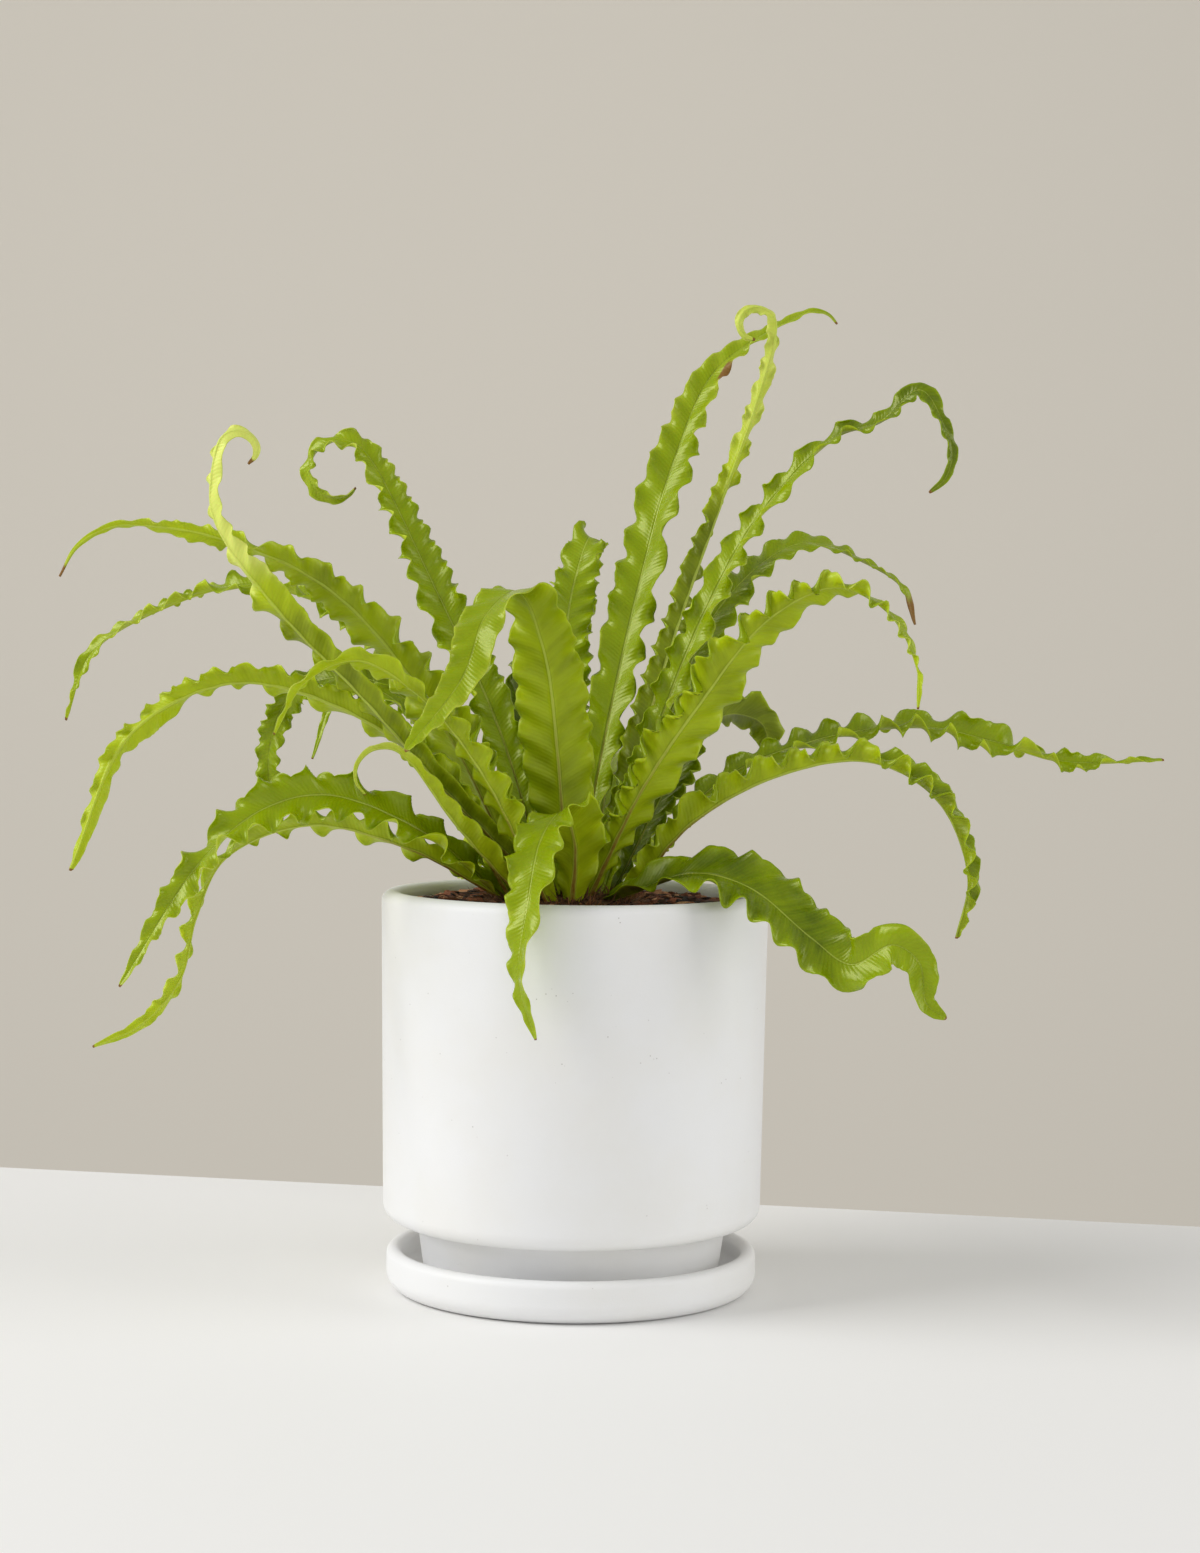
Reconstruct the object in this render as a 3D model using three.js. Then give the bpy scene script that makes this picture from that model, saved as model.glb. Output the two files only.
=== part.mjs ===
// Potted fern: a crisped bird's-nest fern growing in a ceramic planter that stands in its saucer.
//
// Units are millimetres and +Z is up. The origin is the middle of the saucer's flat underside,
// so the part stands on the plane z = 0. The front of the plant faces -Y.
import * as THREE from 'three';

// ---------------------------------------------------------------- driving dimensions

const GAP = 0.3;                  // clearance between pieces that rest on each other

const SAUCER_RADIUS = 79;
const SAUCER_HEIGHT = 18;
const SAUCER_WALL = 6.5;
const SAUCER_FLOOR = 6;
const SAUCER_CORNER = 8;

const POT_HEIGHT = 170;           // top of the rim above the table
const POT_RADIUS = 82.5;          // outside, at the rim
const POT_BASE_RADIUS = 80.7;     // outside, at the bottom of the body
const POT_WALL = 9;
const POT_BODY_BOTTOM = 30;
const POT_FLOOR = 8;
const POT_CORNER = 7;
const LIP_ROUND = 3.5;
const FOOT_RADIUS_TOP = 66;
const FOOT_RADIUS_BOTTOM = 63;
const FOOT_WALL = 8;
const DRAIN_RADIUS = 8;

const SOIL_LEVEL = 163.5;         // at the wall
const SOIL_RISE = 2.5;            // the middle is this much higher
const SOIL_SLOPE = 23;            // width of the sloping band at the wall

const CROWN_X = -5;               // the rosette grows a little left of the pot's middle
const CROWN_RADIUS = 37;
const CROWN_RISE = 5;

const LATHE_SEGMENTS = 48;
const ARC_STEPS = 4;

// ---------------------------------------------------------------- materials

const ceramic = new THREE.MeshStandardMaterial({ color: 0xf1f1f0, roughness: 0.55, metalness: 0 });
const earth = new THREE.MeshStandardMaterial({ color: 0x4a3022, roughness: 0.95, metalness: 0 });
const fibre = new THREE.MeshStandardMaterial({ color: 0x5d3f1e, roughness: 0.9, metalness: 0 });
const leaf = new THREE.MeshStandardMaterial({
  color: 0x7f9c1b, roughness: 0.35, metalness: 0, side: THREE.DoubleSide,
});

// ---------------------------------------------------------------- turned pieces

// Points of a round corner in a profile, centred on (r, z), between two angles in degrees.
function corner(r, z, radius, from, to) {
  const points = [];
  for (let i = 0; i <= ARC_STEPS; i++) {
    const angle = THREE.MathUtils.degToRad(from + (to - from) * i / ARC_STEPS);
    points.push([r + radius * Math.cos(angle), z + radius * Math.sin(angle)]);
  }
  return points;
}

// A closed turned solid about +Z. The profile runs up the outside and comes back down the inside.
function turned(name, profile, material) {
  const points = profile.map(([r, z]) => new THREE.Vector2(r, z));
  const geometry = new THREE.LatheGeometry(points, LATHE_SEGMENTS).rotateX(Math.PI / 2);
  const mesh = new THREE.Mesh(geometry, material);
  mesh.name = name;
  return mesh;
}

function saucer() {
  const lip = SAUCER_WALL / 2;
  const inner = SAUCER_RADIUS - SAUCER_WALL;
  const cove = 4;
  return turned('saucer', [
    [0, 0],
    ...corner(SAUCER_RADIUS - SAUCER_CORNER, SAUCER_CORNER, SAUCER_CORNER, -90, 0),
    ...corner(SAUCER_RADIUS - lip, SAUCER_HEIGHT - lip, lip, 0, 180),
    ...corner(inner - cove, SAUCER_FLOOR + cove, cove, 0, -90),
    [0, SAUCER_FLOOR],
  ], ceramic);
}

function pot() {
  const inner = POT_RADIUS - POT_WALL;
  const floorTop = POT_BODY_BOTTOM + POT_FLOOR;
  const footBottom = SAUCER_FLOOR + GAP;
  return turned('pot', [
    [DRAIN_RADIUS, POT_BODY_BOTTOM],
    [FOOT_RADIUS_TOP - FOOT_WALL, POT_BODY_BOTTOM],
    [FOOT_RADIUS_BOTTOM - FOOT_WALL, footBottom],
    [FOOT_RADIUS_BOTTOM, footBottom],
    [FOOT_RADIUS_TOP, POT_BODY_BOTTOM],
    ...corner(POT_BASE_RADIUS - POT_CORNER, POT_BODY_BOTTOM + POT_CORNER, POT_CORNER, -90, 0),
    ...corner(POT_RADIUS - LIP_ROUND, POT_HEIGHT - LIP_ROUND, LIP_ROUND, 0, 90),
    ...corner(inner + LIP_ROUND, POT_HEIGHT - LIP_ROUND, LIP_ROUND, 90, 180),
    ...corner(inner - POT_CORNER, floorTop + POT_CORNER, POT_CORNER, 0, -90),
    [DRAIN_RADIUS, floorTop],
    [DRAIN_RADIUS, POT_BODY_BOTTOM],
  ], ceramic);
}

function soil() {
  const outer = POT_RADIUS - POT_WALL - GAP;
  const bottom = POT_BODY_BOTTOM + POT_FLOOR + GAP;
  return turned('soil', [
    [0, bottom],
    ...corner(outer - POT_CORNER, bottom + POT_CORNER, POT_CORNER, -90, 0),
    [outer, SOIL_LEVEL],
    [outer - SOIL_SLOPE, SOIL_LEVEL + SOIL_RISE],
    [0, SOIL_LEVEL + SOIL_RISE],
  ], earth);
}

// Height of the crown's rounded top at a distance from its own axis.
function crownTop(distance) {
  const base = SOIL_LEVEL + SOIL_RISE + GAP;
  return base + CROWN_RISE * Math.cos(Math.PI / 2 * Math.min(1, distance / CROWN_RADIUS));
}

function crown() {
  const base = SOIL_LEVEL + SOIL_RISE + GAP;
  const dome = [[0, base], [CROWN_RADIUS, base]];
  for (let distance = CROWN_RADIUS * 0.9; distance > 1; distance -= CROWN_RADIUS / 6) {
    dome.push([distance, crownTop(distance)]);
  }
  dome.push([0, crownTop(0)]);
  const mesh = turned('crown', dome, fibre);
  mesh.position.x = CROWN_X;
  return mesh;
}

// ---------------------------------------------------------------- fronds

// Every frond grows out of one of three rings on the crown, arches through a few points of its own
// and may end in a rolled tip.
//   ring     distance of its foot from the crown's axis: inner, middle or outer
//   bearing  where its foot stands on that ring, in degrees from +X, counter-clockwise
//   width    across the blade at its widest
//   peak     where along its length it is widest, from 0 to 1
//   taper    how it narrows from there: 1 is even, and a smaller number keeps it wide for longer
//   face     the way its upper side looks at the foot
//   twist    pairs of a place along its length and the turn about its midrib there, in degrees
//   fold     how far its halves fold up from the middle plane, in degrees
//   path     the points that it arches through after its foot
//   curl     the radius at which its tip starts to roll and how far it turns, in degrees, clockwise
//            as seen from the front
const RING = { inner: 9, middle: 19, outer: 30 };

const FRONDS = {
  frond_left_1: {
    ring: 'middle', bearing: 212, width: 32, peak: 0.26, taper: 1.3, fold: 12, face: [5, 8, 0],
    path: [[-55, -30, 240], [-95, -36, 290], [-130, -41, 311], [-173, -46, 321]],
    curl: [36, -88],
  },
  frond_left_2: {
    ring: 'middle', bearing: 160, width: 20, taper: 0.6, fold: 22, face: [8, -6, 0],
    path: [[-60, 20, 240], [-100, 35, 285], [-145, 46, 300], [-185, 56, 290]], curl: [60, -74],
  },
  frond_left_3: {
    ring: 'middle', bearing: 245, width: 15, peak: 0.7, taper: 0.75, fold: 24, face: [7, 7, 0],
    path: [[-55, -46, 216], [-85, -56, 250], [-125, -65, 292], [-147, -66, 325],
      [-146, -66, 350]],
    curl: [9, 240],
  },
  frond_left_4: {
    ring: 'inner', bearing: 145, width: 20, peak: 0.5, taper: 0.6, face: [3, -9, 0],
    path: [[-35, 26, 240], [-65, 41, 302], [-94, 55, 357]], curl: [15, -300],
    twist: [[0.6, 0], [0.8, 25]],
  },
  frond_left_5: {
    ring: 'outer', bearing: 222, width: 18, taper: 0.5, fold: 38, face: [6, 8, 0],
    path: [[-60, -38, 222], [-100, -50, 249], [-140, -64, 257], [-178, -76, 236],
      [-200, -86, 182]],
    twist: [[0.66, 0], [0.78, 70]],
  },
  frond_left_6: {
    ring: 'outer', bearing: 256, width: 17, taper: 0.6, face: [7, 7, 0],
    path: [[-38, -54, 222], [-62, -64, 252], [-88, -73, 267], [-108, -79, 258],
      [-120, -82, 237]],
  },
  frond_left_7: {
    ring: 'outer', bearing: 165, width: 14, face: [8, -6, 0],
    path: [[-60, 4, 227], [-85, 7, 254], [-103, 6, 251], [-113, 0, 225]],
  },
  frond_left_8: {
    ring: 'outer', bearing: 145, width: 17, peak: 0.5, taper: 0.4, face: [5, -8, 0],
    path: [[-55, 48, 228], [-95, 64, 259], [-130, 76, 252], [-141, 82, 224], [-137, 86, 188]],
    twist: [[0.5, 0], [0.75, -75]],
  },
  frond_left_9: {
    ring: 'outer', bearing: 205, width: 22, peak: 0.55, taper: 0.8, face: [7, -4, 5],
    path: [[-62, -44, 196], [-100, -62, 212], [-124, -74, 207], [-148, -86, 186],
      [-177, -104, 138]],
  },
  frond_left_10: {
    ring: 'outer', bearing: 186, width: 18, taper: 0.7, fold: 22, face: [7, 5, 3],
    path: [[-70, -13, 188], [-112, -22, 198], [-146, -30, 184], [-157, -35, 160],
      [-163, -40, 134], [-178, -46, 116], [-197, -50, 107]],
  },
  frond_left_11: {
    ring: 'outer', bearing: 235, width: 15, taper: 1.2, fold: 45, face: [8, 6, 0],
    path: [[-50, -49, 202], [-67, -59, 226]], curl: [13, -200],
  },
  frond_front_1: {
    ring: 'middle', bearing: 275, width: 28, peak: 0.36, taper: 0.55, fold: 12, face: [0, 1, 0],
    path: [[-8, -22, 230], [-14, -27, 272], [-24, -36, 296], [-37, -52, 286],
      [-46, -68, 260], [-67, -89, 231]],
    twist: [[0.42, 0], [0.66, -62]],
  },
  frond_front_2: {
    ring: 'outer', bearing: 278, width: 27, peak: 0.4, taper: 0.85, fold: 10, face: [0, 1, 0],
    path: [[0, -40, 192], [-5, -55, 206], [-13, -70, 196], [-18, -88, 170],
      [-21, -94, 142], [-14, -96, 118]],
  },
  frond_right_1: {
    ring: 'inner', bearing: 50, width: 22, peak: 0.58, taper: 0.85, face: [-4, -9, 0],
    path: [[14, 28, 245], [27, 45, 305], [42, 60, 360], [60, 72, 400], [97, 84, 426]],
    curl: [14, 95],
  },
  frond_right_2: {
    ring: 'middle', bearing: 15, width: 16, peak: 0.25, taper: 0.5, fold: 46, face: [-7, 6, 0],
    path: [[28, 18, 235], [45, 31, 290], [63, 37, 342], [76, 35, 380], [84, 28, 412]],
    curl: [9, -290],
  },
  frond_right_3: {
    ring: 'middle', bearing: 345, width: 17, peak: 0.35, taper: 0.62, face: [-6, -7, 0],
    path: [[32, 2, 232], [53, 4, 287], [76, 0, 330], [108, -8, 364], [126, -14, 370],
      [142, -18, 383], [152, -23, 367]],
    curl: [21, 95],
  },
  frond_right_4: {
    ring: 'middle', bearing: 48, width: 22, peak: 0.5, taper: 0.85, fold: 10,
    face: [-5, -8, 0],
    path: [[38, 46, 238], [65, 65, 296], [100, 78, 323], [130, 86, 315]], curl: [32, 75],
  },
  frond_right_5: {
    ring: 'middle', bearing: 310, width: 28, peak: 0.42, taper: 0.95, fold: 12, face: [-4, 9, 0],
    path: [[27, -30, 214], [50, -42, 250], [78, -53, 286], [105, -61, 299], [126, -68, 288],
      [137, -73, 265], [137, -74, 250]],
    twist: [[0.58, 0], [0.74, 40], [0.84, 40], [0.95, 0]],
  },
  frond_right_6: {
    ring: 'outer', bearing: 342, width: 21, taper: 0.5, fold: 54, face: [-8, 6, 0],
    path: [[48, -22, 200], [85, -36, 222], [122, -50, 228], [148, -62, 212],
      [159, -69, 182], [154, -72, 158]],
  },
  frond_right_7: {
    ring: 'outer', bearing: 18, width: 17, peak: 0.68, taper: 0.7, face: [-7, -7, 0],
    path: [[60, 26, 214], [100, 40, 233], [150, 52, 241], [185, 60, 235], [218, 66, 226],
      [265, 72, 227]],
  },
  frond_right_8: {
    ring: 'outer', bearing: 42, width: 24, peak: 0.75, taper: 0.5, face: [-5, -8, 0],
    path: [[46, 60, 222], [66, 78, 245], [84, 89, 241], [88, 92, 226]],
    twist: [[0.45, 0], [0.7, -64]],
  },
  frond_right_9: {
    ring: 'outer', bearing: 320, width: 29, peak: 0.42, taper: 0.6, face: [1, -5, 8],
    path: [[50, -48, 181], [72, -62, 176], [95, -75, 158], [111, -83, 148], [127, -92, 157],
      [137, -93, 150], [140, -93, 134], [148, -93, 128]],
    twist: [[0.55, 0], [0.75, 60]],
  },
  frond_back_1: {
    ring: 'middle', bearing: 92, width: 23, peak: 0.4, taper: 0.6, fold: 8, face: [0, -1, 0],
    path: [[-7, 34, 245], [-4, 43, 295], [4, 64, 324], [2, 86, 300], [-1, 98, 258]],
  },
  frond_back_2: {
    ring: 'outer', bearing: 112, width: 18, taper: 0.7, face: [1, -3, 0],
    path: [[-25, 56, 236], [-28, 76, 262], [-27, 98, 258], [-23, 120, 232]],
  },
  frond_back_3: {
    ring: 'outer', bearing: 128, width: 19, taper: 0.7, face: [4, -6, 4],
    path: [[-38, 75, 198], [-46, 108, 192], [-52, 140, 162], [-56, 165, 118]],
  },
  frond_back_4: {
    ring: 'outer', bearing: 65, width: 20, taper: 0.7, face: [-1, -7, 2],
    path: [[15, 84, 222], [21, 120, 225], [24, 160, 192], [18, 185, 140]],
  },
  frond_back_5: {
    ring: 'outer', bearing: 54, width: 18, taper: 0.7, face: [-2, -7, 4],
    path: [[21, 60, 181], [30, 94, 184], [37, 126, 160], [42, 146, 118]],
  },
  frond_back_6: {
    ring: 'outer', bearing: 105, width: 17, taper: 0.7, face: [2, -7, 4],
    path: [[-19, 58, 180], [-25, 92, 180], [-32, 124, 156], [-36, 142, 118]],
  },
  frond_back_7: {
    ring: 'outer', bearing: 88, width: 17, taper: 0.7, face: [0, -7, 3],
    path: [[-5, 75, 202], [-4, 106, 200], [0, 140, 176], [5, 165, 130]],
  },
};

const CURL_STEP = 40;             // largest turn between two points of a rolled tip, in degrees
const CURL_CLOSING = 0.35;        // share of its radius that a roll loses by its end
const SECTION_SPACING = 8;        // between the sections of a blade
const FINE_STEPS = 8;             // steps per section used to carry the blade's frame along
const BASE_WIDTH = 7;             // every frond narrows to this at its foot
const TIP_WIDTH = 0.8;
const PEAK = 0.33;                // where a frond is widest, unless it says otherwise
const WIDENING = 2.4;             // how quickly it widens from the foot, 1 being evenly
const RIB_ABOVE = 0.3;            // the midrib's rise over the blade's middle plane
const RIB_BELOW = 0.9;
const TIP_RIB = 0.4;              // thickness left at the tip, as a share of the rib's
const FOLD_AT_FOOT = 50;          // how far the halves fold up from the middle plane, in degrees
const FOLD_ALONG = 18;            // unless the frond says otherwise
const FOLD_LENGTH = 0.25;         // share of the length over which the foot's fold opens

function smooth(t) {
  const x = Math.min(1, Math.max(0, t));
  return x * x * (3 - 2 * x);
}

function bladeWidth(frond, along) {
  const peak = frond.peak ?? PEAK;
  if (along < peak) {
    return BASE_WIDTH + (frond.width - BASE_WIDTH) * (1 - (1 - along / peak) ** WIDENING);
  }
  const left = Math.max(0, 1 - along) / (1 - peak);
  return TIP_WIDTH + (frond.width - TIP_WIDTH) * left ** (frond.taper ?? 1);
}

function twistAt(frond, along) {
  const keys = [[0, 0], ...(frond.twist ?? [])];
  for (let i = 1; i < keys.length; i++) {
    const [from, start] = keys[i - 1];
    const [to, end] = keys[i];
    if (along < to) return start + (end - start) * smooth((along - from) / (to - from));
  }
  return keys[keys.length - 1][1];
}

// The points of a rolled tip: short strides in the upright plane that faces the front, each turned
// from the one before by the same angle, and each shorter because the roll closes.
function rolledTip(before, last, radius, turn) {
  const steps = Math.ceil(Math.abs(turn) / CURL_STEP);
  const bend = THREE.MathUtils.degToRad(turn) / steps;
  const heading = Math.atan2(last.z - before.z, last.x - before.x);
  const points = [];
  let point = last;
  for (let i = 0; i < steps; i++) {
    const angle = heading - bend * (i + 0.5);
    const stride = radius * Math.abs(bend) * (1 - CURL_CLOSING * i / steps);
    point = point.clone().add(
      new THREE.Vector3(stride * Math.cos(angle), 0, stride * Math.sin(angle)));
    points.push(point);
  }
  return points;
}

// The midrib as a list of stations. Each has its point, the direction along the midrib, the
// direction that the upper side faces and its place along the length. The facing is carried from
// station to station without turning, and the twist is added to it.
function midrib(frond) {
  const bearing = THREE.MathUtils.degToRad(frond.bearing);
  const radius = RING[frond.ring];
  const foot = new THREE.Vector3(
    CROWN_X + radius * Math.cos(bearing), radius * Math.sin(bearing), crownTop(radius) + 3 * GAP);
  const points = [foot, ...frond.path.map((p) => new THREE.Vector3(...p))];
  if (frond.curl) points.push(...rolledTip(points.at(-2), points.at(-1), ...frond.curl));
  const curve = new THREE.CatmullRomCurve3(points, false, 'centripetal');
  const count = Math.ceil(curve.getLength() / SECTION_SPACING) * FINE_STEPS;
  curve.arcLengthDivisions = count * 2;
  curve.updateArcLengths();
  const facing = new THREE.Vector3(...frond.face);
  const stations = [];
  for (let i = 0; i <= count; i++) {
    const share = i / count;
    const point = curve.getPointAt(share);
    const along = curve.getTangentAt(share);
    facing.addScaledVector(along, -facing.dot(along)).normalize();
    if (i % FINE_STEPS === 0) {
      const twist = THREE.MathUtils.degToRad(twistAt(frond, share));
      const looking = facing.clone().applyAxisAngle(along, twist);
      stations.push({ point, along, facing: looking, share });
    }
  }
  return stations;
}

// The four corners of the blade's section: left edge, rib's top, right edge, rib's underside.
function section(frond, station) {
  const { point, along, facing, share } = station;
  const side = new THREE.Vector3().crossVectors(along, facing);
  const half = bladeWidth(frond, share) / 2;
  const opened = smooth(share / FOLD_LENGTH);
  const folded = FOLD_AT_FOOT + ((frond.fold ?? FOLD_ALONG) - FOLD_AT_FOOT) * opened;
  const fold = THREE.MathUtils.degToRad(folded);
  const rib = 1 + (TIP_RIB - 1) * share;
  const place = (across, up) => point.clone().addScaledVector(side, across).addScaledVector(facing, up);
  return [
    place(-half * Math.cos(fold), half * Math.sin(fold)),
    place(0, RIB_ABOVE * rib),
    place(half * Math.cos(fold), half * Math.sin(fold)),
    place(0, -RIB_BELOW * rib),
  ];
}

// A blade between its sections. The upper and the lower sheet are split along the same lines, from
// the rib to the next section's edge, so that they stay apart where the blade turns.
function frondMesh(name, frond) {
  const sections = midrib(frond).map((station) => section(frond, station));
  const positions = sections.flat().flatMap((p) => [p.x, p.y, p.z]);
  const last = (sections.length - 1) * 4;
  const faces = [[0, 3, 1], [1, 3, 2], [last, last + 1, last + 3], [last + 1, last + 2, last + 3]];
  for (let row = 0; row < last; row += 4) {
    for (let i = 0; i < 4; i++) {
      const a = row + i;
      const b = row + (i + 1) % 4;
      if (i % 2 === 0) faces.push([a, b, a + 4], [b, b + 4, a + 4]);
      else faces.push([a, b, b + 4], [a, b + 4, a + 4]);
    }
  }
  const geometry = new THREE.BufferGeometry();
  geometry.setAttribute('position', new THREE.Float32BufferAttribute(positions, 3));
  geometry.setIndex(faces.flat());
  geometry.computeVertexNormals();
  const mesh = new THREE.Mesh(geometry, leaf);
  mesh.name = name;
  return mesh;
}

// ---------------------------------------------------------------- the part

const part = new THREE.Group();
part.add(saucer(), pot(), soil(), crown());
for (const [name, frond] of Object.entries(FRONDS)) part.add(frondMesh(name, frond));

export default part;
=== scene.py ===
"""Potted fern: the finish of a crisped bird's-nest fern in a ceramic planter with a saucer."""
import math

import bpy
import numpy as np
from mathutils import Matrix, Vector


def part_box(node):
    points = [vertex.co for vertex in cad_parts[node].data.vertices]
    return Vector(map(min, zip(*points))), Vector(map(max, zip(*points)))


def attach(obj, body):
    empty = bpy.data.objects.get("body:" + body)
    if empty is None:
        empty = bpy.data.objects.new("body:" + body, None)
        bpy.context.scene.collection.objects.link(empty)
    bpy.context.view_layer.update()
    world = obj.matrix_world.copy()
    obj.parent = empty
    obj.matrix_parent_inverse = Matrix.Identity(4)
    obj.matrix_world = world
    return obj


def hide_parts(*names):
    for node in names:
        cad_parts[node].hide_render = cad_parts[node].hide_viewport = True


bl_info = {
    "name": "Potted Fern",
    "version": (1, 0, 0),
    "blender": (4, 5, 0),
    "location": "3D View > Sidebar > Potted Fern",
    "description": "Builds a ruffled fern in a ceramic planter around its packed frame",
    "category": "Add Mesh",
}

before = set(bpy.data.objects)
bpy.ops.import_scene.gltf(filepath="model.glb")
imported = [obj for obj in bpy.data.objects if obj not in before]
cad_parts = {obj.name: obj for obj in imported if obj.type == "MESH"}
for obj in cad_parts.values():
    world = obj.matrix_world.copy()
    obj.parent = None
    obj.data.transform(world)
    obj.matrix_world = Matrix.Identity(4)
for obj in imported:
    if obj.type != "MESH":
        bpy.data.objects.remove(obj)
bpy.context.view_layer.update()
MM = 0.001

# Each random piece draws from a seed of its own, so that every run gives the same plant.
SEEDS = {"chips": 11, "fibres": 23, "scales": 37, "fronds": 100}

POT_LOW, POT_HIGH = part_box("pot")
SAUCER_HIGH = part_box("saucer")[1]
SOIL_LOW, SOIL_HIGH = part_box("soil")
CROWN_LOW, CROWN_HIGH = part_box("crown")
CROWN_X = (CROWN_LOW[0] + CROWN_HIGH[0]) / 2
CROWN_RADIUS = (CROWN_HIGH[0] - CROWN_LOW[0]) / 2


# ---------------------------------------------------------------- the fronds' routes

# Each frond's foot stands on a ring of the crown, at a bearing from +X. Its midrib arches through
# the few points of its path, in millimetres, and may end in a rolled tip. These repeat the routes
# of the solids that the fronds replace. Left and right are as seen along the frond with its upper
# side on top.
#   width   across the blade at its widest, in millimetres
#   peak    where along its length it is widest
#   taper   how it narrows from there: 1 is even, and a smaller number keeps it wide for longer
#   fold    how far its halves fold up, in degrees
#   face    the way its upper side looks at the foot
#   curl    the radius at which its tip starts to roll and how far it turns, in degrees, clockwise
#           as seen from the front
#   twist   pairs of a place along its length and the turn about its midrib there, in degrees
#   ruffle  how deep the waves of its left and right margin are, 1 being usual
#   stretch how long its waves are, 1 being usual
#   lobes   1 for a margin of round lobes and -1 for one of pointed teeth, left and right. A
#           larger number makes them deeper
#   tone    0 for dark old leaf, 0.5 for green and 1 for young yellow, at the foot and at the tip; a low tone also paints shade on fronds that lie in shade
#   brown   how far the dry brown colour reaches back from the tip, as a share of the length
#   scar    where along its length a brown scar lies on its right margin
RING = {"inner": 9, "middle": 19, "outer": 30}

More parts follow.
